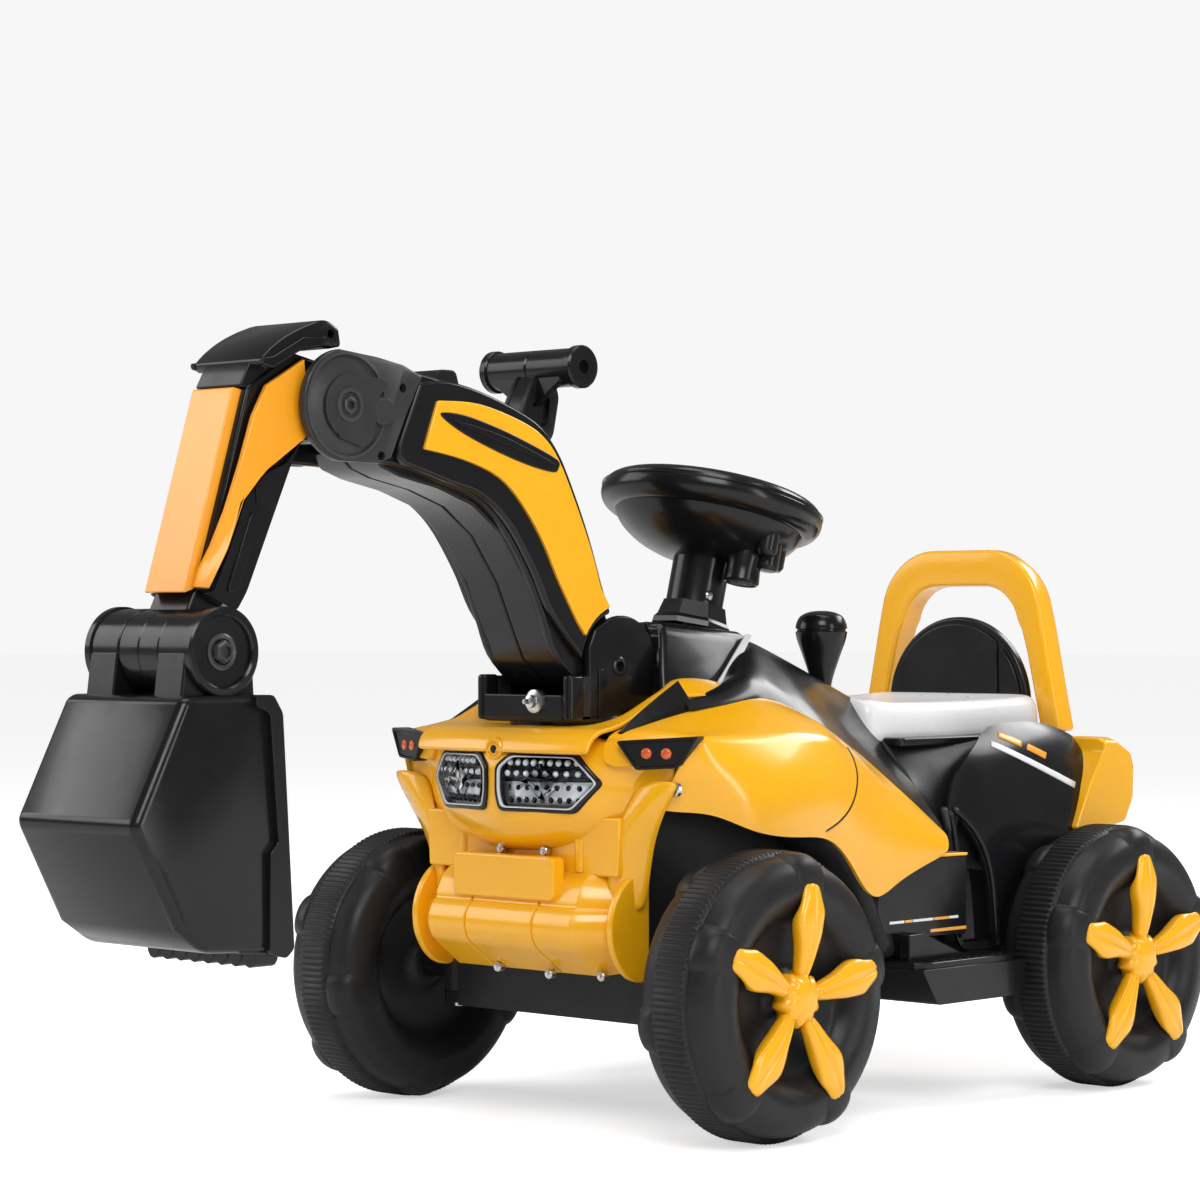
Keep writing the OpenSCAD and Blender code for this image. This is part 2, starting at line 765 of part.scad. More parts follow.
// Yellow panels on both sides of the boom.
module boom_panels() {
  color([0.98, 0.7, 0.02]) both_sides() difference() {
    prism_x([[-69, 357], [-92, 387], [-119, 428], [-149, 456], [-206, 477], [-206, 515],
      [-148, 511], [-88, 474], [-61, 420], [-46, 384]], boom_half_w, panel_half_w);
    prism_x([[-202, 506], [-150, 503], [-92, 474], [-152, 490]], boom_half_w - 1,
      panel_half_w + 1);
    bar_x(38, 0, 60, boom_y, boom_z);
  }
}

// Dark grey plates bolted to both sides of the elbow.
module elbow_plates() {
  color([0.2, 0.2, 0.21]) both_sides() difference() {
    union() {
      bar_x(elbow_disc_r, boom_half_w, panel_half_w, elbow_y, elbow_z);
      prism_x([[elbow_y, elbow_z + elbow_disc_r], [-212, 520], [-212, 476], [elbow_y, 472]],
        boom_half_w, panel_half_w);
      bar_x(9, panel_half_w, panel_half_w + 3, -262, 508);
    }
    bar_x(arm_pin_r, 30, 60, elbow_y, elbow_z);
    bar_x(3, 30, 60, -228, 514);
    bar_x(3, 30, 60, -240, 482);
  }
}

module elbow_pin() {
  color([0.25, 0.25, 0.27]) {
    bar_x(arm_pin_r, -panel_half_w, panel_half_w, elbow_y, elbow_z);
    both_sides() bar_x(11, panel_half_w, panel_half_w + 4, elbow_y, elbow_z);
  }
}

// T-shaped handle; its forked foot drives the push rod.
module dig_handle() {
  pin_y = handle_y + link_drop_y;
  pin_z = handle_z + link_drop_z;
  color([0.06, 0.06, 0.07]) difference() {
    union() {
      bar_x(4, -boom_half_w, boom_half_w, handle_y, handle_z);
      bar_x(9, -9.5, 9.5, handle_y, handle_z);
      bar_x(7, -9.5, 9.5, pin_y, pin_z);
      prism_x([[handle_y - 8, handle_z], [handle_y + 8, handle_z], [pin_y + 7, pin_z],
        [pin_y - 7, pin_z]], -9.5, 9.5);
      prism_x([[handle_y - 8, handle_z], [handle_y + 8, handle_z - 2], [bar_y + 6, bar_z - 8],
        [bar_y - 8, bar_z - 6]], -9.5, 9.5);
      bar_x(14, -40, 40, bar_y, bar_z);
      both_sides() bar_x(15, 40, 46, bar_y, bar_z);
    }
    prism_x([[handle_y - 20, handle_z - 4.5], [handle_y + 20, handle_z - 4.5],
      [handle_y + 20, pin_z - 12], [handle_y - 20, pin_z - 12]], -slot_half_w, slot_half_w);
    bar_x(link_pin_r + run_gap, -12, 12, pin_y, pin_z);
    both_sides() bar_x(4, 36, 47, bar_y, bar_z);
  }
}

// Push rod inside the boom, from the handle to the stick.
module push_rod() {
  y0 = handle_y + link_drop_y;
  z0 = handle_z + link_drop_z;
  y1 = elbow_y + link_drop_y;
  z1 = elbow_z + link_drop_z;
  color([0.6, 0.6, 0.62]) {
    bar_x(link_pin_r, -9.5, 9.5, y0, z0);
    difference() {
      union() {
        bar_x(7, -rod_half_w, rod_half_w, y0, z0);
        bar_x(7, -rod_half_w, rod_half_w, y1, z1);
        prism_x([[y0, z0 - 4], [y0, z0 + 4], [y1, z1 + 4], [y1, z1 - 4]], -rod_half_w, rod_half_w);
      }
      bar_x(link_pin_r + 1.2, -rod_half_w - 1, rod_half_w + 1, y1, z1);
    }
  }
}

// Cuts the front corners of the stick at a slant.
module stick_corners() {
  lean = atan2(42, 136);
  both_sides() translate([20, -371, 518]) rotate([-lean, 0, 0]) rotate([0, 0, 42])
    translate([0, -40, -180]) cube([40, 40, 220]);
}

// Black core of the stick, forked at the elbow.
module stick_frame() {
  pin_y = elbow_y + link_drop_y;
  pin_z = elbow_z + link_drop_z;
  color([0.06, 0.06, 0.07]) {
    difference() {
      union() {
        prism_x(stick_outline, -stick_core_w, stick_core_w);
        bar_x(25, -stick_half_w, stick_half_w, elbow_y, elbow_z);
        prism_x([[elbow_y, elbow_z + 25], [-324, 541], [-338, 500], [-330, 480],
          [elbow_y, elbow_z - 25]], -stick_core_w, stick_core_w);
        prism_x([[-406, 388], [-386, 378], [bucket_y + 22, bucket_z], [bucket_y - 22, bucket_z]],
          -20, 20);
        bar_x(26, -20, 20, bucket_y, bucket_z);
      }
      stick_corners();
      prism_x([[pin_y - 14, 470], [-240, 470], [-240, 520], [-277, 520], [-281, elbow_z - 8],
        [pin_y - 14, elbow_z - 8]], -slot_half_w, slot_half_w);
      bar_x(arm_pin_r + run_gap, -60, 60, elbow_y, elbow_z);
      bar_x(arm_pin_r + run_gap, -60, 60, bucket_y, bucket_z);
    }
    bar_x(link_pin_r, -8, 8, pin_y, pin_z);
  }
}

// Black cap over the top of the stick.
module stick_cap() {
  color([0.05, 0.05, 0.06]) difference() {
    prism_x([[-300, 553], [-300, 566], [-322, 564], [-352, 538], [-371, 521], [-366, 519],
      [-326, 544], [-312, 549]], -boom_half_w, boom_half_w);
    bar_x(elbow_disc_r + plate_gap, -60, 60, elbow_y, elbow_z);
  }
}

// Front panel and two side panels of the stick.
module stick_panels() {
  color([0.98, 0.6, 0.05]) {
    prism_x([[-366, 519], [-371, 518], [-413, 382], [-408, 386]], -20, 20);
    both_sides() difference() {
      prism_x([[-326, 543.5], [-357, 523], [-401, 386], [-389, 381], [-372, 410], [-350, 460],
        [-324, 488]], stick_core_w, stick_half_w);
      bar_x(34, 0, 60, elbow_y, elbow_z);
    }
  }
}

module bucket_pin() {
  color([0.1, 0.1, 0.11]) {
    bar_x(arm_pin_r, -50, 50, bucket_y, bucket_z);
    both_sides() bar_x(24, 50, 54, bucket_y, bucket_z);
    both_sides() bar_x(8, 54, 57, bucket_y, bucket_z);
  }
}

// Faceted scoop with hinge lugs and a toothed lip, open to the rear.
module bucket() {
  top = bucket_z - 28;
  color([0.04, 0.04, 0.05]) difference() {
    union() {
      prism_x([[-376, top], [-448, top], [-490.5, 235], [-454, 168], [-430, 152], [-361, 148]],
        -bucket_half_w, bucket_half_w);
      both_sides() lug(top);
      for (x = [-50:20:50]) {
        prism_x([[-390, 149], [-361, 148.2], [-372, 139]], x - 6, x + 6);
      }
    }
    prism_x([[-372, top - bucket_wall], [-446, top - bucket_wall], [-486, 235], [-451, 171],
      [-428, 157], [-355, 152.5]], bucket_wall - bucket_half_w, bucket_half_w - bucket_wall);
    span([bucket_wall - bucket_half_w, -380, 153], [bucket_half_w - bucket_wall, -340,
      top - bucket_wall]);
    bar_x(arm_pin_r, -60, 60, bucket_y, bucket_z);
  }
}

module lug(top) {
  bar_x(28, 20.4, 50, bucket_y, bucket_z);
  prism_x([[bucket_y - 28, bucket_z], [bucket_y + 27, bucket_z], [bucket_y + 30, top - 1],
    [bucket_y - 32, top - 1]], 20.4, 50);
}

chassis_tub();
front_axle_beam();
kingpins();
rear_axle();
front_shell();
hood_strakes();
front_bumper();
body_screws();
headlight_bezels();
headlight_reflectors();
headlight_lenses();
indicator_bezels();
indicator_lamps();
dash_pod();
column_collar();
console_cover();
rear_body();
rear_covers();
side_boxes();
footboards();
tail_panel();
seat();
backrest();
backrest_hoop();
battery();
gearbox_motor();
foot_pedal();
gear_lever();
lever_knob();
steering_rim();
steering_hub();
sound_module();
steering_shaft();
music_button();
horn_button();
knuckle_left();
knuckle_right();
tie_rod();
wheel_front_left();
wheel_front_right();
wheel_rear_left();
wheel_rear_right();
star_front_left();
star_front_right();
star_rear_left();
star_rear_right();
tower_bracket();
tower_bolt();
boom_pin();
boom_frame();
boom_panels();
elbow_plates();
elbow_pin();
dig_handle();
push_rod();
stick_frame();
stick_cap();
stick_panels();
bucket_pin();
bucket();
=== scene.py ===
"""Looks of the ride-on digger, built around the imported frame. Metres; +Z up, -Y is the front."""
import json
import math

import bmesh
import bpy
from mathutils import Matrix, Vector


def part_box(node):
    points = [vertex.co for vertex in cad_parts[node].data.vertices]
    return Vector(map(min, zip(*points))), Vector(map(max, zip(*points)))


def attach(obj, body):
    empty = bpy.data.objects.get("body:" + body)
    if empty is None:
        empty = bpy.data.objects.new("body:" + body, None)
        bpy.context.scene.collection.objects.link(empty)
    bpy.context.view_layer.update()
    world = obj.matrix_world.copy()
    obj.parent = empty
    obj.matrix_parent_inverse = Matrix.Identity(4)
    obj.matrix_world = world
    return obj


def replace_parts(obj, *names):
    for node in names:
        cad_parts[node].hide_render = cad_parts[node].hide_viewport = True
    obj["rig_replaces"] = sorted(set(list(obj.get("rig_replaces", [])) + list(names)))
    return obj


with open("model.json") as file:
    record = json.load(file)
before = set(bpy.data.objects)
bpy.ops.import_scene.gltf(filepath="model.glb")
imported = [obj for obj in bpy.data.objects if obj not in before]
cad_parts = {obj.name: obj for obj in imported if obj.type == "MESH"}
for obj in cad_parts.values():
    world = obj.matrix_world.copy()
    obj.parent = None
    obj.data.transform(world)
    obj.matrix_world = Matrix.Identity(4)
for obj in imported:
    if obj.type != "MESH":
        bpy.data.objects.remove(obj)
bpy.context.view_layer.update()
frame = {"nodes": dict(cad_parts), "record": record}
MM = 0.001
SIDES = [(1, "left"), (-1, "right")]
CAMERA_PLACE = (1.7564, -1.8505, 0.3642)
CAMERA_TARGET = (0, -0.0003, 0.3806)
CAMERA_LENS = 103.14
STUDIO_GLOW = 0.42  # light of the surroundings on the object
MIRRORED_GLOW = 0.2  # the same as gloss shows it
BACKDROP_GLOW = 0.93  # the same as the camera sees it
FLOOR_GLOW = 0.54  # paleness added to the floor in the picture

# ---------------------------------------------------------------- camera, floor and light


def look_from(obj, place, target):
    """Puts obj at place and turns its -Z axis to the target."""
    obj.location = place
    away = Vector(place) - Vector(target)
    obj.rotation_mode = "QUATERNION"
    obj.rotation_quaternion = away.to_track_quat("Z", "Y")


def make_camera():
    data = bpy.data.cameras.new("camera")
    data.sensor_width = 36.0
    data.lens = CAMERA_LENS
    data.clip_start = 0.05
    data.clip_end = 50
    cam = bpy.data.objects.new("camera", data)
    bpy.context.scene.collection.objects.link(cam)
    look_from(cam, CAMERA_PLACE, CAMERA_TARGET)
    bpy.context.scene.camera = cam


def area_light(name, place, target, size, power):
    data = bpy.data.lights.new(name, "AREA")
    data.shape = "RECTANGLE"
    data.size, data.size_y = size
    data.energy = power
    lamp = bpy.data.objects.new(name, data)
    bpy.context.scene.collection.objects.link(lamp)
    look_from(lamp, place, target)


def make_stage():
    world = bpy.data.worlds.new("studio")
    world.use_nodes = True
    bpy.context.scene.world = world
    nodes, links = world.node_tree.nodes, world.node_tree.links
    glow = nodes["Background"]
    paper, dim = nodes.new("ShaderNodeBackground"), nodes.new("ShaderNodeBackground")
    for light, strength in [(glow, STUDIO_GLOW), (paper, BACKDROP_GLOW), (dim, MIRRORED_GLOW)]:
        light.inputs["Color"].default_value = (1, 1, 1, 1)
        light.inputs["Strength"].default_value = strength
    rays = nodes.new("ShaderNodeLightPath")
    soft = nodes.new("ShaderNodeMixShader")
    links.new(rays.outputs["Is Glossy Ray"], soft.inputs["Fac"])
    links.new(glow.outputs["Background"], soft.inputs[1])
    links.new(dim.outputs["Background"], soft.inputs[2])
    choose = nodes.new("ShaderNodeMixShader")
    links.new(rays.outputs["Is Camera Ray"], choose.inputs["Fac"])
    links.new(soft.outputs["Shader"], choose.inputs[1])
    links.new(paper.outputs["Background"], choose.inputs[2])
    links.new(choose.outputs["Shader"], nodes["World Output"].inputs["Surface"])
    bpy.context.scene.view_settings.view_transform = "Standard"
    mesh = bpy.data.meshes.new("floor")
    half = 30
    corners = [(-half, -half, 0), (half, -half, 0), (half, half, 0), (-half, half, 0)]
    mesh.from_pydata(corners, [], [(0, 1, 2, 3)])
    floor = bpy.data.objects.new("floor", mesh)
    bpy.context.scene.collection.objects.link(floor)
    mesh.materials.append(plain_floor())
    middle = (0, 0, 0.3)
    for name, place, size, power in [("key", (2.2, -2.0, 2.6), (1.6, 1.6), 60),
            ("fill", (-2.6, -1.8, 1.6), (1.8, 1.8), 28), ("rim", (0.6, 2.6, 2.0), (2.2, 0.8), 40),
            ("top", (0, 0, 3.2), (2.0, 2.0), 30), ("side", (3.0, 0.2, 0.9), (0.5, 1.6), 14)]:
        area_light(name, place, middle, size, power)


# ---------------------------------------------------------------- materials


def new_material(name):
    mat = bpy.data.materials.new(name)
    mat.use_nodes = True
    return mat, mat.node_tree.nodes, mat.node_tree.links


def add_node(nodes, kind, **values):
    """A shader node with some inputs set; an underscore stands for a space."""
    node = nodes.new("ShaderNode" + kind)
    set_inputs(node, **values)
    return node


def set_inputs(node, **values):
    for key, value in values.items():
        node.inputs[key.replace("_", " ")].default_value = value


def plain_floor():
    mat, nodes, links = new_material("pale_floor")
    shader = nodes["Principled BSDF"]
    set_inputs(shader, Base_Color=(0.93, 0.93, 0.93, 1), Roughness=0.75, Emission_Color=(1, 1, 1, 1))
    noise = add_node(nodes, "TexNoise", Scale=40)
    bump = add_node(nodes, "Bump", Strength=0.02)
    links.new(noise.outputs["Fac"], bump.inputs["Height"])
    links.new(bump.outputs["Normal"], shader.inputs["Normal"])
    rays = nodes.new("ShaderNodeLightPath")
    share = nodes.new("ShaderNodeMath")
    share.operation = "MULTIPLY"
    share.inputs[1].default_value = FLOOR_GLOW
    links.new(rays.outputs["Is Camera Ray"], share.inputs[0])
    links.new(share.outputs["Value"], shader.inputs["Emission Strength"])
    return mat


def moulded(name, colour, roughness, coat=0.0, grain=0.05, wear=0.25, metallic=0.0, shine=0.5):
    """Moulded plastic or metal: mottled colour, uneven gloss, fine grain and edges rubbed paler."""
    mat, nodes, links = new_material(name)
    shader = nodes["Principled BSDF"]
    set_inputs(shader, Metallic=metallic, Coat_Weight=coat, Specular_IOR_Level=shine, Coat_Roughness=0.06)
    where = nodes.new("ShaderNodeTexCoord")
    cloud = add_node(nodes, "TexNoise", Scale=14, Detail=5)
    smudge = add_node(nodes, "TexNoise", Scale=45, Detail=6, Roughness=0.6)
    fine = add_node(nodes, "TexNoise", Scale=900, Detail=3)
    for noise in (cloud, smudge, fine):
        links.new(where.outputs["Object"], noise.inputs["Vector"])
    tint = nodes.new("ShaderNodeMix")
    tint.data_type = "RGBA"
    links.new(cloud.outputs["Fac"], tint.inputs["Factor"])
    tint.inputs["A"].default_value = (*[c * 0.93 for c in colour], 1)
    tint.inputs["B"].default_value = (*[min(1, c * 1.05 + 0.002) for c in colour], 1)
    geometry = nodes.new("ShaderNodeNewGeometry")
    edge = add_node(nodes, "MapRange", From_Min=0.54, From_Max=0.72, To_Max=wear)
    links.new(geometry.outputs["Pointiness"], edge.inputs["Value"])
    rubbed = nodes.new("ShaderNodeMix")
    rubbed.data_type = "RGBA"
    links.new(edge.outputs["Result"], rubbed.inputs["Factor"])
    links.new(tint.outputs["Result"], rubbed.inputs["A"])
    rubbed.inputs["B"].default_value = (*[c + (1 - c) * 0.35 for c in colour], 1)
    links.new(rubbed.outputs["Result"], shader.inputs["Base Color"])
    gloss = add_node(nodes, "MapRange", From_Min=0.3, From_Max=0.7, To_Min=roughness * 0.8,
        To_Max=min(1, roughness * 1.25))
    links.new(smudge.outputs["Fac"], gloss.inputs["Value"])
    links.new(gloss.outputs["Result"], shader.inputs["Roughness"])
    bump = add_node(nodes, "Bump", Strength=grain, Distance=0.0004)
    links.new(fine.outputs["Fac"], bump.inputs["Height"])
    links.new(bump.outputs["Normal"], shader.inputs["Normal"])
    return mat


def clear_lens():
    mat, nodes, links = new_material("lens")
    shader = nodes["Principled BSDF"]
    set_inputs(shader, Base_Color=(0.96, 0.98, 1, 1), Transmission_Weight=1, IOR=1.08)
    noise = add_node(nodes, "TexNoise", Scale=60)
    gloss = add_node(nodes, "MapRange", To_Min=0.01, To_Max=0.05)
    links.new(noise.outputs["Fac"], gloss.inputs["Value"])
    links.new(gloss.outputs["Result"], shader.inputs["Roughness"])
    return mat


YELLOW = (0.92, 0.44, 0.005)
ORANGE = (0.92, 0.36, 0.012)
BLACK = (0.006, 0.006, 0.007)
LOOKS = {  # colour, roughness, coat, grain, wear, metal, shine
    "yellow_plastic": (YELLOW, 0.22, 0.3, 0.03, 0.12),
    "orange_plastic": (ORANGE, 0.22, 0.3, 0.03, 0.12),
    "black_plastic": (BLACK, 0.22, 0.08, 0.03, 0.05, 0.0, 0.3),
    "black_satin": ((0.01, 0.01, 0.011), 0.36, 0.0, 0.12, 0.05, 0.0, 0.25),
    "wheel_plastic": ((0.013, 0.013, 0.014), 0.4, 0.0, 0.15, 0.05, 0.0, 0.3),
    "grey_plastic": ((0.026, 0.026, 0.028), 0.36, 0.0, 0.1, 0.06, 0.0, 0.35),
    "white_plastic": ((0.8, 0.8, 0.81), 0.3, 0.15, 0.04, 0.0),
    "steel": ((0.62, 0.62, 0.64), 0.26, 0.0, 0.08, 0.1, 1.0),
    "reflector": ((0.9, 0.91, 0.93), 0.2, 0.0, 0.02, 0.0, 0.3),
    "lamp_orange": ((0.62, 0.1, 0.01), 0.14, 0.6, 0.02),
    "battery_case": ((0.05, 0.06, 0.09), 0.5),
    "button_red": ((0.7, 0.03, 0.02), 0.22, 0.4),
    "button_yellow": ((0.93, 0.55, 0.02), 0.22, 0.4),
    "pin_black": ((0.02, 0.02, 0.021), 0.3, 0.0, 0.06, 0.2),
}
MATERIALS = {name: moulded(name, *values) for name, values in LOOKS.items()}
MATERIALS["lens"] = clear_lens()

# body and material slot of the groups of pieces that come up most
BODY_BLACK = ("vehicle", "black_plastic")
BODY_YELLOW = ("vehicle", "yellow_plastic")
BODY_SATIN = ("vehicle", "black_satin")
BODY_STEEL = ("vehicle", "steel")
TOWER_BLACK = ("tower", "black_plastic")
STICK_BLACK = ("stick", "black_plastic")
SCOOP_BLACK = ("scoop", "black_plastic")
STEERING_BLACK = ("steering", "black_plastic")
BOOM_GREY = ("boom", "grey_plastic")
HANDLE_BLACK = ("handle", "black_plastic")

SLOT_OF = {part["node"]: part["material_slot"] for part in frame["record"]["subparts"]}


def dress_cad_nodes():
    """Bevels and material for every CAD node; those replaced later are hidden anyway."""
    for name, obj in frame["nodes"].items():
        obj.data.materials.clear()
        obj.data.materials.append(MATERIALS[SLOT_OF[name]])
        soften(obj, 1.2, 2, 35)


# ---------------------------------------------------------------- mesh building helpers


def add_piece(name, verts, faces, body, slot, replaces=(), smooth=True):
    """A mesh from points in millimetres, riding a CAD body and dressed in a record slot."""
    mesh = bpy.data.meshes.new(name)
    mesh.from_pydata([Vector(v) * MM for v in verts], [], faces)
    mesh.validate()
    obj = bpy.data.objects.new(name, mesh)
    bpy.context.scene.collection.objects.link(obj)
    tidy = bmesh.new()
    tidy.from_mesh(mesh)
    bmesh.ops.remove_doubles(tidy, verts=tidy.verts, dist=0.00001)
    bmesh.ops.recalc_face_normals(tidy, faces=tidy.faces)
    tidy.to_mesh(mesh)
    tidy.free()
    if smooth:
        mesh.polygons.foreach_set("use_smooth", [True] * len(mesh.polygons))
    return settle(obj, body, slot, replaces)


def settle(obj, body, slot, replaces=()):
    obj.data.materials.clear()
    obj.data.materials.append(MATERIALS[slot])
    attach(obj, body)
    for node in replaces:
        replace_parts(obj, node)
    return obj


def soften(obj, width, segments=3, angle=30):
    """Rounds the sharp edges of a piece; width in millimetres."""
    bevel = obj.modifiers.new("soft_edges", "BEVEL")
    bevel.width = width * MM
    bevel.segments = segments
    bevel.limit_method = "ANGLE"
    bevel.angle_limit = math.radians(angle)
    bevel.harden_normals = True
    return obj


def subdivide(obj, levels):
    smooth = obj.modifiers.new("smooth", "SUBSURF")
    smooth.levels = smooth.render_levels = levels
    return obj


def thicken(obj, thickness):
    """Gives a sheet its wall, half to each side; thickness in millimetres."""
    wall = obj.modifiers.new("wall", "SOLIDIFY")
    wall.thickness = thickness * MM
    wall.offset = 0
    return obj


def bake(obj):
    """Applies the modifiers, so that later steps see the finished mesh."""
    graph = bpy.context.evaluated_depsgraph_get()
    made = bpy.data.meshes.new_from_object(obj.evaluated_get(graph))
    obj.modifiers.clear()
    obj.data = made
    return obj


def catmull(points, per=6, closed=False):
    """Points of a smooth curve through the given ones."""
    n = len(points)
    dims = len(points[0])
    out = []
    for i in range(n if closed else n - 1):
        four = []
        for k in range(-1, 3):
            j = (i + k) % n if closed else min(max(i + k, 0), n - 1)
            four.append(points[j])
        for step in range(per):
            t = step / per
            weights = (-0.5 * t + t * t - 0.5 * t**3, 1 - 2.5 * t * t + 1.5 * t**3, 0.5 * t
                + 2 * t * t - 1.5 * t**3, -0.5 * t * t + 0.5 * t**3)
            out.append(tuple(sum(w * p[d] for w, p in zip(weights, four)) for d in range(dims)))
    if not closed:
        out.append(tuple(points[-1]))
    return out


def rounded(outline, radius, steps=4):
    """A closed 2-D outline with each corner cut by an arc-like curve."""
    out = []
    n = len(outline)
    for i in range(n):
        before, here, after = (Vector(outline[(i + k) % n]) for k in (-1, 0, 1))
        reach_in = min(radius, (before - here).length * 0.45)
        reach_out = min(radius, (after - here).length * 0.45)
        a = here + (before - here).normalized() * reach_in
        b = here + (after - here).normalized() * reach_out
        for step in range(steps + 1):
            t = step / steps
            out.append(tuple(a * (1 - t) ** 2 + here * 2 * t * (1 - t) + b * t * t))
    return out


def box(x0, y0, x1, y1):
    """The outline of a rectangle between two corners."""
    return [(x0, y0), (x1, y0), (x1, y1), (x0, y1)]


def place(axis, u, v, w):
    """Point with (u, v) in the outline's plane and w along the axis."""
    return {"x": (w, u, v), "y": (u, w, v), "z": (u, v, w)}[axis]


def prism(name, outline, low, high, axis, body, slot, replaces=(), edge=1.5, segments=3):
    """A solid plate: a closed 2-D outline between two levels, with rounded edges."""
    n = len(outline)
    verts = [place(axis, u, v, low) for u, v in outline] + [place(axis, u, v, high) for u, v in outline]
    faces = [tuple(range(n)), tuple(range(n, 2 * n))]
    faces += [(i, (i + 1) % n, n + (i + 1) % n, n + i) for i in range(n)]
    obj = add_piece(name, verts, faces, body, slot, replaces)
    return soften(obj, edge, segments) if edge else obj


def grid_mesh(rows, wrap_rows=False, wrap_cols=False):
    """Vertices and quads of a grid of points; wrap joins the last row or column to the first."""
    count, width = len(rows), len(rows[0])
    verts = [p for row in rows for p in row]
    faces = []
    for i in range(count if wrap_rows else count - 1):
        for j in range(width if wrap_cols else width - 1):
            k, m = (i + 1) % count, (j + 1) % width
            faces.append((i * width + j, i * width + m, k * width + m, k * width + j))
    return verts, faces


def skin(name, rows, body, slot, replaces=(), thickness=3.0, levels=2, side=1):
    """A thin smooth wall through a grid of control points; side -1 is its mirror image."""
    rows = [[(x * side, y, z) for x, y, z in row] for row in rows]
    verts, faces = grid_mesh(rows)
    obj = add_piece(name, verts, faces, body, slot, replaces)
    subdivide(obj, levels)
    return thicken(obj, thickness)


def tube_loft(name, rings, body, slot, replaces=(), levels=1):
    """A closed solid through rings of points, capped at both ends."""
    verts, faces = grid_mesh(rings, wrap_cols=True)
    width = len(rings[0])
    faces.append(tuple(range(width)))
    faces.append(tuple(range((len(rings) - 1) * width, len(rings) * width)))
    obj = add_piece(name, verts, faces, body, slot, replaces)
    return subdivide(obj, levels) if levels else obj


def join(name, parts):
    """Makes one piece of several that ride the same body."""
    first = parts[0]
    for part in parts:
        bake(part)
    merged = bmesh.new()
    for part in parts:
        merged.from_mesh(part.data)
    merged.to_mesh(first.data)
    merged.free()
    for part in parts[1:]:
        for node in part.get("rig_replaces", []):
            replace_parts(first, node)
        bpy.data.objects.remove(part)
    first.name = name
    return first


# ---------------------------------------------------------------- wheels

WHEEL_R = 102.5
LUGS = 5
RIBS = 140
STEPS = RIBS * 4
GROOVE = 1.7  # depth between two ribs
LUG_RISE = 5.0
LUG_REACH = 92 / 15  # radius of the lugs by half their width


def tyre_section():
    """Closed outline of the wheel as (x, r, lug share, rib share), outer side first."""
    outer = catmull([(18, 22, 0, 0), (19, 44, 0, 0), (22, 54, 0, 0), (30, 61, 0, 0), (35.2, 70, 0.05, 0),
        (36, 78, 0.4, 0), (33, 89, 0.9, 0), (27, 95, 1, 0), (19, 97.5, 1, 0), (14.6, 98.4, 0.6, 0)], 4)
    band = [(14, 100.6, 0, 0), (13.2, 101.8, 0, 0.6), (11.5, WHEEL_R, 0, 1), (0, WHEEL_R, 0, 1)]
    half = [(24, 5.2, 0, 0), (24, 15, 0, 0), (22, 17, 0, 0)] + outer + band
    back = [(-x, r, lug, rib) for x, r, lug, rib in reversed(half[:-1])]
    return half + back


def make_tyre(name, body, side, turn, node, centre):
    section = tyre_section()
    rows = []
    for step in range(STEPS):
        angle = 2 * math.pi * step / STEPS
        groove = GROOVE if step % 4 in (0, 1) else 0.0
        row = []
        for x, r, lug, rib in section:
            shift = 0 if x > 0 else math.pi / LUGS
            off = (LUGS * (angle - turn + shift) / (2 * math.pi) + 0.5) % 1 - 0.5
            reach = off * 2 * math.pi / LUGS * LUG_REACH
            lift = LUG_RISE * lug * max(0.0, 1 - reach * reach) ** 0.6 if abs(reach) < 1 else 0.0
            radius = r + lift * 0.85 - groove * rib
            out = x + math.copysign(lift * 0.35 * (abs(x) > 20), x)
            row.append((side * out, radius * math.cos(angle), radius * math.sin(angle)))
        rows.append(row)
    rows = [[(x + centre.x, y + centre.y, z + centre.z) for x, y, z in row] for row in rows]
    verts, faces = grid_mesh(rows, wrap_rows=True, wrap_cols=True)
    add_piece(name, verts, faces, body, "wheel_plastic", [node])


ARM = [  # distance from the hub, left half width, right half width, height of the ridge
    (13, 5, 5, 3.0), (24, 7.5, 7, 6.0), (36, 9.5, 8.5, 8.0), (46, 12, 12.5, 9.0), (55, 12.5, 15, 9.0),
    (62, 14, 13, 8.5), (68, 11, 10.5, 8.0), (75, 9, 9, 7.0), (81, 7.5, 7.5, 5.5),
]


def star_arm():
    """Rings of one leaf-shaped arm along +r: each ring crosses the arm from edge to edge."""
    rings = []
    base = 25.5
    for r, left, right, height in ARM:
        floor = base if r < 60 else 34.0
        top = 33.5 + height
        rings.append([(r, -left, floor), (r, -left, top - 3.2), (r, -left + 1.6, top - 1.8),
            (r, -left * 0.45, top), (r, -1.7, top - 0.1), (r, -1.1, top - 1.3), (r, 1.1, top - 1.3),
            (r, 1.7, top - 0.1), (r, right * 0.45, top), (r, right - 1.6, top - 1.8), (r, right, top - 3.2),
            (r, right, floor)])
    return rings


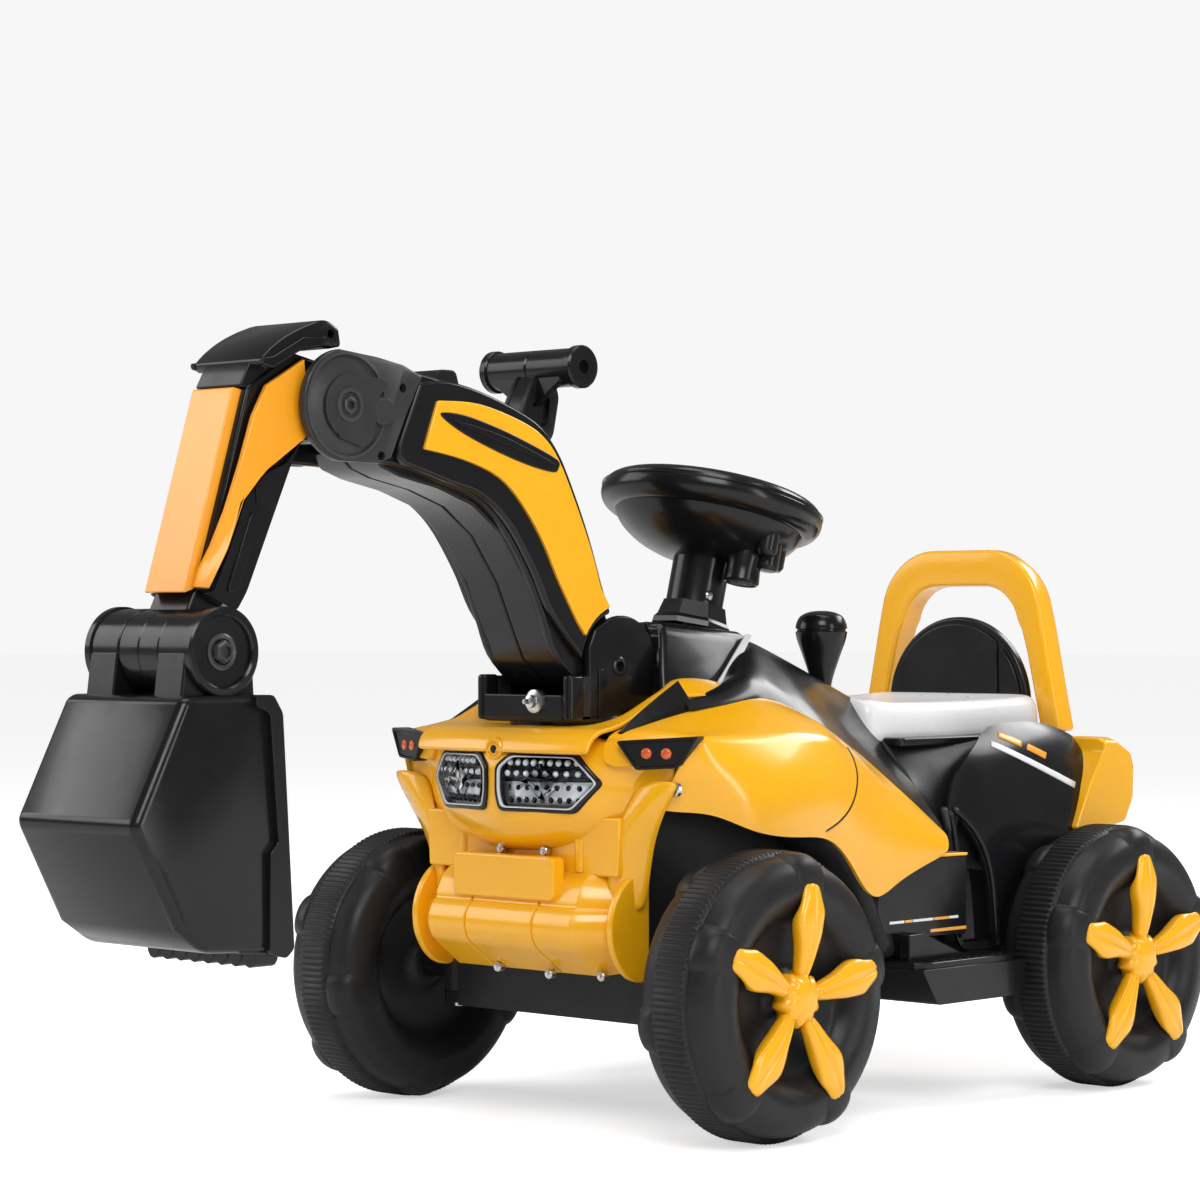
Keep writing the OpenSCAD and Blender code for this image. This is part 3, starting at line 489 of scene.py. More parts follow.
def make_star(name, body, side, turn, node, centre):
    def seat(r, across, out, angle):
        y = r * math.cos(angle) - across * math.sin(angle)
        z = r * math.sin(angle) + across * math.cos(angle)
        return (centre.x + side * out, centre.y + y, centre.z + z)

    parts = []
    for arm in range(5):
        angle = turn + 2 * math.pi * arm / 5
        rings = [[seat(r, c, o, angle) for r, c, o in ring] for ring in star_arm()]
        parts.append(tube_loft(f"{name}_arm{arm}", rings, body, "yellow_plastic", levels=1))
    hub = []
    lobes = 60
    for r, out, wave in [(1, 40.5, 0), (6, 40.4, 0), (11, 39.6, 0.2), (15, 38, 0.8), (18.5, 34, 1),
            (19, 28, 1), (19, 24.4, 1)]:
        hub.append([seat(r + wave * 1.6 * math.cos(10 * 2 * math.pi * k / lobes), 0, out, turn
            + 2 * math.pi * k / lobes) for k in range(lobes)])
    parts.append(tube_loft(f"{name}_hub", hub, body, "yellow_plastic", levels=0))
    star = join(name, parts)
    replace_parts(star, node)
    return star


def make_wheels():
    for corner, side, turn in [("front_left", 1, 83), ("front_right", -1, 83), ("rear_left", 1, 90),
            ("rear_right", -1, 90)]:
        body = "wheel_" + "".join(word[0] for word in corner.split("_"))
        node = f"wheel_{corner}"
        low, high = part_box(node)
        centre = (low + high) / 2 / MM
        make_tyre(f"tyre_{corner}", body, side, math.radians(turn), node, centre)
        make_star(f"star_cap_{corner}", body, side, math.radians(turn), f"star_{corner}", centre)


# ---------------------------------------------------------------- more building helpers


def cut(obj, *tools):
    """Takes the tool meshes away from a piece; the tools are used up."""
    bake(obj)
    for tool in tools:
        bake(tool)
        boolean = obj.modifiers.new("cut", "BOOLEAN")
        boolean.operation = "DIFFERENCE"
        boolean.solver = "EXACT"
        boolean.object = tool
        bake(obj)
        bpy.data.objects.remove(tool)
    tidy = bmesh.new()
    tidy.from_mesh(obj.data)
    bmesh.ops.remove_doubles(tidy, verts=tidy.verts, dist=0.000005)
    bmesh.ops.dissolve_degenerate(tidy, edges=tidy.edges, dist=0.000005)
    tidy.to_mesh(obj.data)
    tidy.free()
    return obj


def crisp(obj, angle=35):
    """Smooth shading that keeps edges above the angle sharp."""
    obj.data.polygons.foreach_set("use_smooth", [True] * len(obj.data.polygons))
    marker = bmesh.new()
    marker.from_mesh(obj.data)
    for edge in marker.edges:
        edge.smooth = len(edge.link_faces) == 2 and edge.calc_face_angle(0) < math.radians(angle)
    marker.to_mesh(obj.data)
    marker.free()
    return obj


def about_x(y, z):
    return lambda a, b, h: (h, y + a, z + b)


def about_y(x, z):
    return lambda a, b, h: (x + a, h, z + b)


def about_z(x, y):
    return lambda a, b, h: (x + a, y + b, h)


TILT = math.radians(15)


RIM_LOW, RIM_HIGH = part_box("steering_rim")
RIM_CENTRE = (RIM_LOW + RIM_HIGH) / 2 / MM


def column(a, b, h):
    """Point in the steering column's own frame, h along the shaft."""
    return (a, RIM_CENTRE.y + b * math.cos(TILT) + h * math.sin(TILT), RIM_CENTRE.z - b * math.sin(TILT)
        + h * math.cos(TILT))


def circle(axis, r, h, count, turn=0.0):
    """Points of a circle about an axis function, at height h."""
    angles = [2 * math.pi * k / count + turn for k in range(count)]
    return [axis(r * math.cos(angle), r * math.sin(angle), h) for angle in angles]


def turned(name, profile, axis, body, slot, replaces=(), count=64, sides=None, angle=30):
    """A solid of revolution from (radius, height) pairs; sides makes it a polygon bar."""
    n = sides or count
    turn = math.pi / n if sides else 0
    rings = [circle(axis, max(r, 0.05), h, n, turn) for r, h in profile]
    obj = tube_loft(name, rings, body, slot, replaces, levels=0)
    return crisp(obj, angle)


def ring_of(name, profile, axis, body, slot, replaces=(), count=72, angle=30):
    """A ring: a closed (radius, height) section turned about an axis."""
    rings = [circle(axis, r, h, count) for r, h in profile]
    verts, faces = grid_mesh(rings, wrap_rows=True, wrap_cols=True)
    return crisp(add_piece(name, verts, faces, body, slot, replaces), angle)


def side_prism(name, outline, x0, x1, side, body, slot, replaces=(), edge=1.5, segments=3):
    low, high = sorted((side * x0, side * x1))
    return prism(name, outline, low, high, "x", body, slot, replaces, edge, segments)


def arc(cy, cz, r, start, end, steps=8):
    """Points on an arc, angles in degrees from the first axis towards the second."""
    return [(cy + r * math.cos(math.radians(start + (end - start) * k / steps)), cz
        + r * math.sin(math.radians(start + (end - start) * k / steps))) for k in range(steps + 1)]


# ---------------------------------------------------------------- digger arm

# (y, z) outline of the boom seen from the side
BOOM_TOP = catmull([(-296, 547), (-239, 539), (-195, 532), (-155, 524), (-111, 508), (-88, 488), (-72, 462),
    (-54, 426), (-40, 390), (-30, 366)], 4)
BOOM_LOW = catmull([(-60, 318), (-84, 340), (-97, 368), (-112, 397), (-138, 431), (-166, 451), (-200, 461),
    (-239, 471), (-296, 473)], 4)
# (y, z) of the pivots of the arm
ELBOW = (-292, 510)
PIVOT = (-22, 331)
BUCKET_PIN = (-409, 345)
TOWER_EYE = (-26, 332)


def make_boom():
    foot = arc(*PIVOT, 26, 40, -120, 10)
    outline = BOOM_TOP + foot + BOOM_LOW
    pieces = []
    for side, end in SIDES:
        plate = side_prism(f"boom_side_{end}", outline, 29, 36, side, "boom", "black_plastic",
            ["boom_frame"], 2.4, 4)
        frame_top = catmull([(-224, 529), (-195, 531), (-155, 523), (-111, 507), (-89, 488), (-73, 462),
            (-55, 425), (-42, 391)], 4)
        frame_end = arc(*PIVOT, 41, 105, 172, 8)
        frame_low = catmull([(-78, 352), (-97, 374), (-113, 402), (-138, 434), (-166, 453), (-197, 461),
            (-238, 472)], 4)
        border = side_prism(f"boom_border_{end}", frame_top + frame_end + frame_low
            + [(-245, 478), (-244, 486)], 35, 42.5, side, "boom", "black_plastic", (), 2.6, 4)
        belly = [(-239, 535), (-195, 528), (-155, 519), (-111, 503), (-86, 482), (-70, 458), (-52, 420),
            (-38, 384), (-22, 352), (-10, 331), (-22, 308), (-52, 314), (-82, 338), (-94, 362), (-109, 393),
            (-134, 426), (-162, 446), (-196, 457), (-232, 464), (-250, 470), (-262, 480), (-262, 536)]
        cover = side_prism(f"boom_cover_{end}", belly, 0.5, 31, side, *BOOM_GREY, (), 1.6, 3)
        pieces += [plate, border, cover]
        panel_top = catmull([(-209, 517), (-170, 516.5), (-127, 506), (-104, 495), (-89, 479), (-72, 449),
            (-56, 416), (-46, 389)], 4)
        panel_end = arc(*PIVOT, 46, 108, 150, 6)
        panel_low = catmull([(-70, 364), (-89, 393), (-106, 422), (-127, 448), (-150, 466), (-184, 477),
            (-222, 483)], 4)
        panel = side_prism(f"boom_panel_{end}", rounded(panel_top + panel_end + panel_low, 1.2, 2), 41, 45,
            side, "boom", "yellow_plastic", ["boom_panels"], 1.3, 3)
        lens = catmull([(-208, 508), (-185, 508), (-150, 500), (-115, 489), (-92, 480), (-91, 474),
            (-97, 471), (-125, 476), (-160, 486), (-190, 497)], 4, closed=True)
        slot_mark = side_prism(f"boom_slot_{end}", lens, 44, 45.9, side, "boom", "black_plastic", (), 1.4,
            3)
        ridge = catmull([(-198, 504), (-150, 495), (-104, 480), (-100, 477), (-150, 490)], 4, closed=True)
        crest = side_prism(f"boom_slot_crest_{end}", ridge, 45, 47.2, side, "boom", "black_satin", (), 1.2,
            3)
        join(f"boom_panel_{end}", [panel])
        join(f"boom_slot_{end}", [slot_mark, crest])
    join("boom_frame_shell", pieces)
    # small stop on top of the boom, just before the elbow plates
    prism("boom_stop", rounded([(-176, 522), (-196, 528), (-186, 541), (-170, 541), (-164, 522)], 4), -22,
        22, "x", "boom", "black_satin", (), 2.2)


def make_elbow():
    for side, end in SIDES:
        disc = arc(*ELBOW, 38, 262, 98, 30)
        outline = disc + [(-262, 544), (-239, 540), (-221, 533), (-236, 506), (-250, 476), (-262, 472)]
        plate = side_prism(f"elbow_plate_{end}", outline, 35.5, 42, side, *BOOM_GREY, ["elbow_plates"], 1.6)
        cut(plate, *[turned(f"hole{k}", [(3.2, side * 30), (3.2, side * 50)], about_x(y, z), "boom",
            "steel", count=24) for k, (y, z) in enumerate([(-240, 524), (-260, 477)])])
        crisp(plate, 30)
        boss_outline = arc(-291, 509, 22, 240, 105, 14) + rounded([(-292, 531), (-257, 529), (-257, 522),
            (-263, 520), (-270, 488), (-279, 482), (-302, 488)], 4)[3:]
        boss = side_prism(f"elbow_boss_{end}", boss_outline, 41.5, 45, side, *BOOM_GREY, (), 1.3)
        rim = ring_of(f"elbow_rim_{end}", [(36.5, side * 41.5), (36.2, side * 43.4), (34.2, side * 43.8),
            (33, side * 41.5)], about_x(*ELBOW), *BOOM_GREY)
        knob = turned(f"elbow_knob_{end}", [(10, side * 41), (10, side * 44), (8.8, side * 45.2),
            (6, side * 45.4), (0, side * 45.4)], about_x(-259, 507), *BOOM_GREY)
        join(f"elbow_plate_{end}", [plate, boss, rim, knob])
        rings = ring_of(f"bolt_ring_{end}", [(12, side * 44), (11.4, side * 46.2), (9, side * 46.4),
            (8, side * 44.6), (8, side * 43.5)], about_x(*ELBOW), "boom", "pin_black")
        core = turned(f"bolt_core_{end}", [(8.4, side * 42), (8.4, side * 44), (6.6, side * 44.2),
            (6, side * 46.3), (4.6, side * 46.8), (2.8, side * 46.8), (2.6, side * 44.5), (0, side * 44.4)],
            about_x(*ELBOW), "boom", "pin_black", ["elbow_pin"], sides=6, angle=25)
        join(f"elbow_bolt_{end}", [core, rings])


def make_stick():
    spine = [(-292, 538), (-326, 545), (-366, 519), (-405, 389), (-404, 384), (-378, 372), (-369, 384),
        (-330, 470), (-318, 486), (-292, 486)]
    core = prism("stick_core", spine, -25.5, 25.5, "x", *STICK_BLACK, ["stick_frame"], 3.0, 4)
    hub = turned("stick_hub", [(0, -29.5), (23, -29.5), (25, -28), (25, 28), (23, 29.5), (0, 29.5)],
        about_x(*ELBOW), *STICK_BLACK)
    neck = prism("stick_neck", [(-402, 392), (-382, 378), (-386, 345), (-432, 345), (-430, 352),
        (-412, 372)], -20, 20, "x", *STICK_BLACK, (), 2.0)
    drum = [turned(f"stick_drum_{n}", [(0, a), (26.6, a), (27.6, a + 0.9), (27.6, b - 0.9), (26.6, b),
        (0, b)], about_x(*BUCKET_PIN), *STICK_BLACK, count=96) for n, a,
        b in [("a", -20, -0.15), ("b", 0.15, 20)]]
    pieces = [core, hub, neck] + drum
    for side, end in SIDES:
        rail = [(-318, 489), (-334, 470), (-352, 463), (-369, 446), (-384, 410), (-397, 384), (-404, 383),
            (-378, 371), (-369, 384), (-328, 474)]
        pieces.append(side_prism(f"stick_rail_{end}", rounded(rail, 4, 3), 24, 29.4, side, *STICK_BLACK, (),
            1.4))
        bar = rounded([(-366, 436), (-357, 437), (-378, 384), (-387, 384)], 3, 3)
        pieces.append(side_prism(f"stick_bar_{end}", bar, 28, 31, side, "stick", "grey_plastic", (), 1.2))
        chip = rounded([(-362, 453), (-349, 455), (-353, 444), (-361, 442)], 2, 3)
        pieces.append(side_prism(f"stick_chip_{end}", chip, 28, 30.6, side, "stick", "grey_plastic", (),
            1.0))
        fore = [(-354, 521, 30.5), (-366, 500, 30.5), (-376, 470, 30.3), (-388, 438, 29.5), (-398, 414, 27),
            (-406, 398, 23.5), (-409, 387, 22)]
        aft = [(-321, 540, 30.5), (-318, 512, 30.5), (-319, 488, 30.5), (-352, 466, 30.5),
            (-371, 448, 30.3), (-386, 412, 29.5), (-399, 386, 26)]
        rows = [[(x * side, y, z) for y, z, x in [tuple(f + (a - f) * t for f, a in zip(front, back))
            for t in (0, 0.33, 0.67, 1)]] for front, back in zip(fore, aft)]
        verts, faces = grid_mesh(rows)
        panel = add_piece(f"stick_side_{end}", verts, faces, "stick", "orange_plastic")
        thicken(panel, 4)
        soften(panel, 1.1, 3, 40)
        bake(panel)
        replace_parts(panel, "stick_panels")
    front = prism("stick_front", rounded([(-365, 518), (-374, 519.5), (-415, 383), (-406, 386)], 1.5, 2),
        -20.5, 20.5, "x", "stick", "orange_plastic", ["stick_panels"], 2.6, 4)
    pieces = join("stick_frame_shell", pieces)
    top = catmull([(-362, 537), (-352, 546), (-338, 555), (-320, 563), (-304, 567), (-292, 562)], 4)
    low = [(-290, 550), (-300, 548), (-312, 549), (-326, 545), (-358, 531)]
    cap = prism("stick_cap_dome", top + low, -35, 35, "x", *STICK_BLACK, ["stick_cap"], 4.0, 5)
    eye = turned("cap_eye", [(3, 20), (3, 60)], about_x(-300, 558), "stick", "steel", count=24)
    cut(cap, eye)
    crisp(cap, 40)
    bands = [cap]
    for side, end in SIDES:
        band = [(-363, 538), (-352, 540), (-326, 554), (-306, 556), (-306, 549), (-326, 546), (-352, 532),
            (-362, 534)]
        bands.append(side_prism(f"cap_band_{end}", band, 33, 37, side, *STICK_BLACK, (), 1.4))
    brow = prism("cap_brow", rounded([(-350, 542), (-360, 538), (-370, 520), (-356, 518), (-340, 530)], 2,
        2), -23, 23, "x", *STICK_BLACK, (), 1.2)
    join("stick_cap_dome", bands + [brow])


def make_bucket():
    outer = [(-376, 317), (-448, 317), (-490, 235), (-454, 168), (-430, 152), (-361, 148)]
    shell = prism("bucket_shell", outer, -62, 62, "x", *SCOOP_BLACK, ["bucket"], 6.5, 6)
    inside = [(-350, 312), (-446, 312), (-485, 235), (-450, 172), (-428, 158), (-340, 153)]
    hollow = prism("bucket_hollow", inside, -57.5, 57.5, "x", *SCOOP_BLACK, (), 3.0, 3)
    cut(shell, hollow)
    crisp(shell, 40)
    parts = [shell]
    for side, end in SIDES:
        rim = [(-392, 317), (-377, 317), (-369, 305), (-359, 151), (-366, 145), (-380, 149), (-380, 214),
            (-373, 221), (-380, 305), (-392, 310)]
        parts.append(side_prism(f"bucket_rim_{end}", rounded(rim, 2.5, 3), 57, 66, side, *SCOOP_BLACK, (),
            1.6))
        lug = [(-437, 345), (-381, 345), (-379, 314), (-441, 314)]
        parts.append(side_prism(f"bucket_lug_{end}", lug, 20.6, 49, side, *SCOOP_BLACK, (), 1.5))
        drum = [(0, side * 20.6), (27.2, side * 20.6), (28, side * 21.4), (28, side * 48),
            (29.4, side * 48.6), (29.4, side * 53.4), (28.2, side * 54.6), (24.4, side * 54.8),
            (23.2, side * 53.6), (22.8, side * 51.4), (9, side * 51), (0, side * 51)]
        parts.append(turned(f"bucket_drum_{end}", drum, about_x(*BUCKET_PIN), *SCOOP_BLACK, count=96))
        nut = turned(f"bucket_nut_{end}", [(7.6, side * 50), (7.6, side * 55), (6.4, side * 56.4),
            (4, side * 56.4), (3.6, side * 54.5), (0, side * 54.5)], about_x(*BUCKET_PIN), "scoop",
            "pin_black", ["bucket_pin"], sides=6, angle=20)
        ring = ring_of(f"bucket_washer_{end}", [(12, side * 50.5), (12, side * 52), (10.6, side * 52.6),
            (8.8, side * 52.2), (8.8, side * 50.5)], about_x(*BUCKET_PIN), "scoop", "pin_black")
        join(f"bucket_nut_{end}", [nut, ring])
    lip = prism("bucket_lip", [(-404, 156), (-362, 152), (-361, 147), (-400, 150)], -60, 60, "x",
        *SCOOP_BLACK, (), 1.0)
    teeth = []
    for k in range(8):
        x = -49 + 14 * k
        teeth += [(x - 7, 150), (x - 6, 143.5), (x - 3.5, 140), (x, 138.8), (x + 3.5, 140), (x + 6, 143.5)]
    comb = prism("bucket_comb", teeth + [(56, 150), (56, 154), (-56, 154)], -384, -364, "y", *SCOOP_BLACK,
        (), 0.8, 2)
    ledge = prism("bucket_ledge", rounded([(-60, 149), (-60, 153), (-14, 153), (-14, 149)], 1, 2), -402,
        -385, "y", *SCOOP_BLACK, (), 0.8, 2)
    join("bucket_shell", parts + [lip, comb, ledge])


def make_tower():
    parts = []
    foot = turned("tower_foot", [(0, 287), (44, 287), (46, 289), (46, 293), (44, 296), (0, 297)],
        about_z(0, -30), *TOWER_BLACK, ["tower_bracket"])
    base = prism("tower_base", rounded(box(-44, -80, 44, 6), 6), 292, 298, "z", *TOWER_BLACK, (), 2.0)
    parts += [foot, base]
    for side, end in SIDES:
        cheek = [(-58, 294), (-58, 346), (-51, 359)] + arc(-22, 333, 36, 118, 20, 12) + [(10, 322),
            (9, 294)]
        plate = side_prism(f"tower_cheek_{end}", cheek, 38, 44, side, *TOWER_BLACK, (), 1.8, 4)
        cut(plate, turned("eye", [(3.4, side * 41), (3.4, side * 60)], about_x(*TOWER_EYE), "tower",
            "steel", count=24))
        crisp(plate, 35)
        rib = side_prism(f"tower_rib_{end}", rounded([(-49, 294), (-49, 330), (-43, 330), (-43, 326),
            (-46, 326), (-46, 294)], 0.8, 2), 43.5, 45.4, side, *TOWER_BLACK, (), 0.6)
        seat = ring_of(f"tower_eye_{end}", [(7, side * 43.4), (7, side * 44.8), (5.6, side * 45.4),
            (4, side * 45), (4, side * 43.4)], about_x(*TOWER_EYE), *TOWER_BLACK)
        post = prism(f"tower_post_{end}", rounded(box(side * 39, -82, side * 48, -66), 4.5, 4), 293, 326,
            "z", *TOWER_BLACK, (), 2.6, 4)
        fin = prism(f"tower_fin_{end}", rounded(box(side * 40, -68, side * 44, -56), 1, 2), 293, 325, "z",
            *TOWER_BLACK, (), 1.0)
        parts += [plate, rib, seat, post, fin]
    face = prism("tower_face", rounded(box(-40, 294, 40, 312), 2), -82, -76, "y", *TOWER_BLACK, (), 1.4)
    parts.append(face)
    join("tower_shell", parts)
    turned("tower_bolt_head", [(0, -95), (1.6, -94.8), (2, -90), (4.4, -89.4), (4.8, -86), (5.2, -86),
        (8.4, -84.6), (8.8, -82), (8.2, -79), (0, -77)], about_y(14, 307), "tower", "steel", ["tower_bolt"])
    turned("boom_pin_rod", [(0, -38), (6, -38), (6, 38), (0, 38)], about_x(*PIVOT), "tower", "steel",
        ["boom_pin"])


def make_handle():
    parts = []
    y, z = -66, 548
    for n, a, b in [("a", -40, -0.4), ("b", 0.4, 40)]:
        parts.append(turned(f"handle_tube_{n}", [(0, a), (12.8, a), (14, a + 1.1), (14, b - 1.1), (12.8, b),
            (0, b)], about_x(y, z), *HANDLE_BLACK))
    for s, end in SIDES:
        parts.append(turned(f"handle_end_{end}", [(0, s * 39), (14.6, s * 39), (15.6, s * 40.2),
            (15.6, s * 45), (14.4, s * 46.4), (9, s * 46.8), (5, s * 46.4), (4.6, s * 41), (0, s * 41)],
            about_x(y, z), *HANDLE_BLACK))
        wing = [(-104, 470), (-96, 512), (-88, 528), (-78, 545), (-60, 543), (-54, 528), (-60, 500),
            (-88, 468)]
        plate = side_prism(f"handle_wing_{end}", rounded(wing, 4, 3), 7, 10.4, s, "handle", "black_satin",
            (), 1.2)
        gap = [(-88, 500), (-83, 522), (-64, 528), (-66, 508)]
        tool = side_prism(f"handle_gap_{end}", rounded(gap, 3, 2), 5, 12, s, "handle", "black_satin", (), 0)
        parts.append(crisp(cut(plate, tool), 35))
        parts.append(prism(f"handle_gusset_{end}", [(s * 8, 520), (s * 34, 538), (s * 34, 544),
            (s * 8, 544)], -78, -72, "y", "handle", "black_satin", (), 1.0))
    web = [(-102, 470), (-94, 512), (-86, 530), (-76, 545), (-62, 543), (-56, 528), (-63, 500), (-90, 468)]
    parts.append(prism("handle_web", web, -7.6, 7.6, "x", *HANDLE_BLACK, ["dig_handle"], 1.4))
    parts.append(prism("handle_foot", [(-103, 474), (-87, 472), (-82, 453), (-96, 451)], -9.5, 9.5, "x",
        *HANDLE_BLACK, (), 1.2))
    join("handle_shell", parts)


# ---------------------------------------------------------------- nose, deck and fenders

HEAD_Z = 250
HEAD_W = 117
HEAD_TOP = (36, 2.6)  # height above HEAD_Z and roundness of the outline
HEAD_CHIN = (55, 2.1)  # the same below it


# (x, z) outline of the left headlight, and its middle
LIGHT = rounded([(5, 242), (8, 230), (65, 229), (84, 250), (67, 270), (16, 270.5), (5, 261)], 4, 4)
LIGHT_MID = (42, 250.5)


def head_shape(x, z):
    """How far out a point of the nose lies (1 is its edge), and the depth of the edge there."""
    high = z >= HEAD_Z
    reach, power = HEAD_TOP if high else HEAD_CHIN
    rise = abs(z - HEAD_Z) / reach
    s = ((abs(x) / HEAD_W) ** power + rise ** power) ** (1 / power)
    share = rise / s if s > 0.001 else 0
    return s, -66 - (18 if high else 8) * min(1, share)


def head_y(x, z):
    """The y of the nose surface in front of a point (x, z)."""
    s, edge = head_shape(x, z)
    face = -113 + 21 * (abs(x) / 88) ** 1.6
    return face + (edge - face) * min(1.0, s) ** 4


def make_head():
    rings = []
    count = 72
    for s in (0.02, 0.3, 0.5, 0.66, 0.78, 0.87, 0.94, 0.98, 1.0):
        ring = []
        for k in range(count):
            t = 2 * math.pi * k / count
            reach, power = HEAD_TOP if math.sin(t) >= 0 else HEAD_CHIN
            x = HEAD_W * s * math.copysign(abs(math.cos(t)) ** (2 / power), math.cos(t))
            z = HEAD_Z + reach * s * math.copysign(abs(math.sin(t)) ** (2 / power), math.sin(t))
            ring.append((x, head_y(x, z), z))
        rings.append(ring)
    rings.append([(x * 0.995, -52, z) for x, y, z in rings[-1]])
    head = tube_loft("nose_head", rings, *BODY_YELLOW, ["front_shell"], levels=1)
    tools = []
    for side in (1, -1):
        hole = [(side * x, z) for x, z in LIGHT]
        tools.append(prism(f"light_hole{side}", hole, -130, -72, "y", *BODY_STEEL, (), 0))
    cut(head, *tools)
    return crisp(head, 40)


def light_ring(side, scale, depth):
    """The headlight outline, scaled about its middle and sunk below the face of the nose."""
    ring = []
    for x, z in LIGHT:
        px = LIGHT_MID[0] + (x - LIGHT_MID[0]) * scale
        pz = LIGHT_MID[1] + (z - LIGHT_MID[1]) * (1 + (scale - 1) * 1.7)
        ring.append((side * px, head_y(px, pz) + depth, pz))
    return ring


def bead(centre, size, name, slot):
    """A small egg-shaped cell of a headlight."""
    mesh = bmesh.new()
    bmesh.ops.create_icosphere(mesh, subdivisions=2, radius=1.0)
    verts = [(centre[0] + v.co.x * size[0], centre[1] + v.co.y * size[1], centre[2] + v.co.z * size[2])
        for v in mesh.verts]
    faces = [tuple(v.index for v in f.verts) for f in mesh.faces]
    mesh.free()
    return add_piece(name, verts, faces, "vehicle", slot)


def make_headlights():
    for side, end in SIDES:
        steps = [(1.03, 2), (1.03, -1.2), (1.01, -2.2), (0.97, -2.2), (0.945, -0.8), (0.94, 9), (1.0, 9)]
        verts, faces = grid_mesh([light_ring(side, s, d) for s, d in steps], wrap_rows=True, wrap_cols=True)
        crisp(add_piece(f"light_surround_{end}", verts, faces, *BODY_BLACK, ["headlight_bezels"]), 40)
        trim = [(0.955, -1.4), (0.95, -2.4), (0.93, -2.2), (0.92, -0.6), (0.93, 0.5)]
        verts, faces = grid_mesh([light_ring(side, s, d) for s, d in trim], wrap_rows=True, wrap_cols=True)
        crisp(add_piece(f"light_trim_{end}", verts, faces, "vehicle", "reflector"), 40)
        back = [light_ring(side, s, 7.0) for s in (0.96, 0.7, 0.4, 0.05)]
        front = [light_ring(side, s, 5.6) for s in (0.05, 0.4, 0.7, 0.96)]
        bowl = tube_loft(f"light_bowl_{end}", back + front, "vehicle", "reflector",
            ["headlight_reflectors"], levels=0)
        rows = []
        for k in range(15):
            x = 8 + 5.1 * k
            top = min(268.8, 261 + (x - 6) * 0.9, 268.8 - (x - 64) * 1.02)
            rows.append([(side * x, head_y(x, z) + 4.2, z) for z in (250.4, (250.4 + top) / 2, top)])
        mask = skin(f"light_mask_{end}", rows, *BODY_BLACK, (), thickness=1.6, levels=0)
        bright, dark = [bowl], [mask]
        for row, z in enumerate((263.5, 256.0, 246.0, 237.5)):
            span = (14, 65) if row in (0, 3) else (12, 74)
            for k in range(9):
                x = span[0] + (span[1] - span[0]) * k / 8
                y = head_y(x, z)
                if row < 2:
                    bright.append(bead((side * x, y + 4.0, z), (2.2, 2.8, 2.4), f"bead_{end}{row}{k}",
                        "reflector"))
                else:
                    dark.append(bead((side * x, y + 5.0, z), (1.4, 2.4, 2.1), f"bead_{end}{row}{k}",
                        "black_plastic"))
        join(f"light_bowl_{end}", bright)
        join(f"light_mask_{end}", dark)
        glass = [light_ring(side, s, d) for s, d in ((0.05, 0.2), (0.4, 0.2), (0.7, 0.2), (0.93, 0.4),
            (0.93, -0.6), (0.7, -1.0), (0.4, -1.0), (0.05, -1.0))]
        tube_loft(f"light_lens_{end}", glass, "vehicle", "lens", ["headlight_lenses"], levels=0)
    y = head_y(0, 273)
    turned("hood_disc", [(0, y - 3.4), (4, y - 3.4), (4.4, y - 2.6), (5.6, y - 2.6), (6.2, y - 4),
        (7.6, y - 4), (8.4, y - 3), (8.6, y + 4), (0, y + 4)], about_y(0, 273), *BODY_YELLOW)
    turned("hood_dot", [(0, y - 4.2), (2.2, y - 4.2), (3, y - 3.6), (3.1, y - 2), (0, y - 2)],
        about_y(0, 273), *BODY_BLACK, count=32)


FENDER = [  # rows from front to back, each from the deck side down to the wheel arch
    [(84, -88, 262), (105, -82, 262), (140, -66, 266), (134, -68, 252), (127, -71, 242), (120, -74, 232)],
    [(85, -84, 284), (108, -74, 285), (150, -55, 282), (150, -55, 262), (144, -55, 247), (139, -55, 231)],
    [(85, -60, 288), (112, -60, 287), (150, -46, 282), (157, -46, 262), (155, -42, 245), (153, -40, 229)],
    [(86, -18, 300), (110, -18, 297), (152, -18, 282), (163, -18, 262), (170, -18, 240), (170, -18, 214)],
    [(104, 30, 306), (128, 30, 297), (154, 30, 282), (164, 30, 261), (170, 30, 240), (168, 30, 210)],
    [(101, 71, 309), (128, 71, 298), (153, 71, 280), (162, 71, 258), (166, 71, 236), (161, 71, 210)],
    [(109, 100, 296), (130, 100, 290), (150, 100, 275), (158, 100, 250), (160, 100, 222), (157, 100, 189)],
    [(121, 132, 277), (136, 132, 267), (148, 132, 253), (154, 132, 228), (155, 132, 192), (151, 132, 153)],
    [(131, 170, 248), (140, 170, 236), (148, 170, 222), (152, 168, 208), (153, 164, 190), (151, 160, 171)],
    [(139, 204, 222), (144, 204, 216), (149, 204, 208), (151, 203, 200), (152, 201, 192), (151, 199, 183)],
    [(143, 224, 206), (146, 224, 204), (149, 224, 201), (151, 223, 197), (152, 222, 193), (151, 220, 189)],
]


def crease(obj, lines, value=0.7):
    """Marks the mesh edges that run along lines of points (millimetres) as creases."""
    marker = bmesh.new()
    marker.from_mesh(obj.data)
    layer = marker.edges.layers.float.new("crease_edge")
    keys = set()
    for line in lines:
        for a, b in zip(line, line[1:]):
            keys.add(frozenset((tuple(round(c, 2) for c in a), tuple(round(c, 2) for c in b))))
    for edge in marker.edges:
        ends = frozenset(tuple(round(c / MM, 2) for c in v.co) for v in edge.verts)
        if ends in keys:
            edge[layer] = value
    marker.to_mesh(obj.data)
    marker.free()


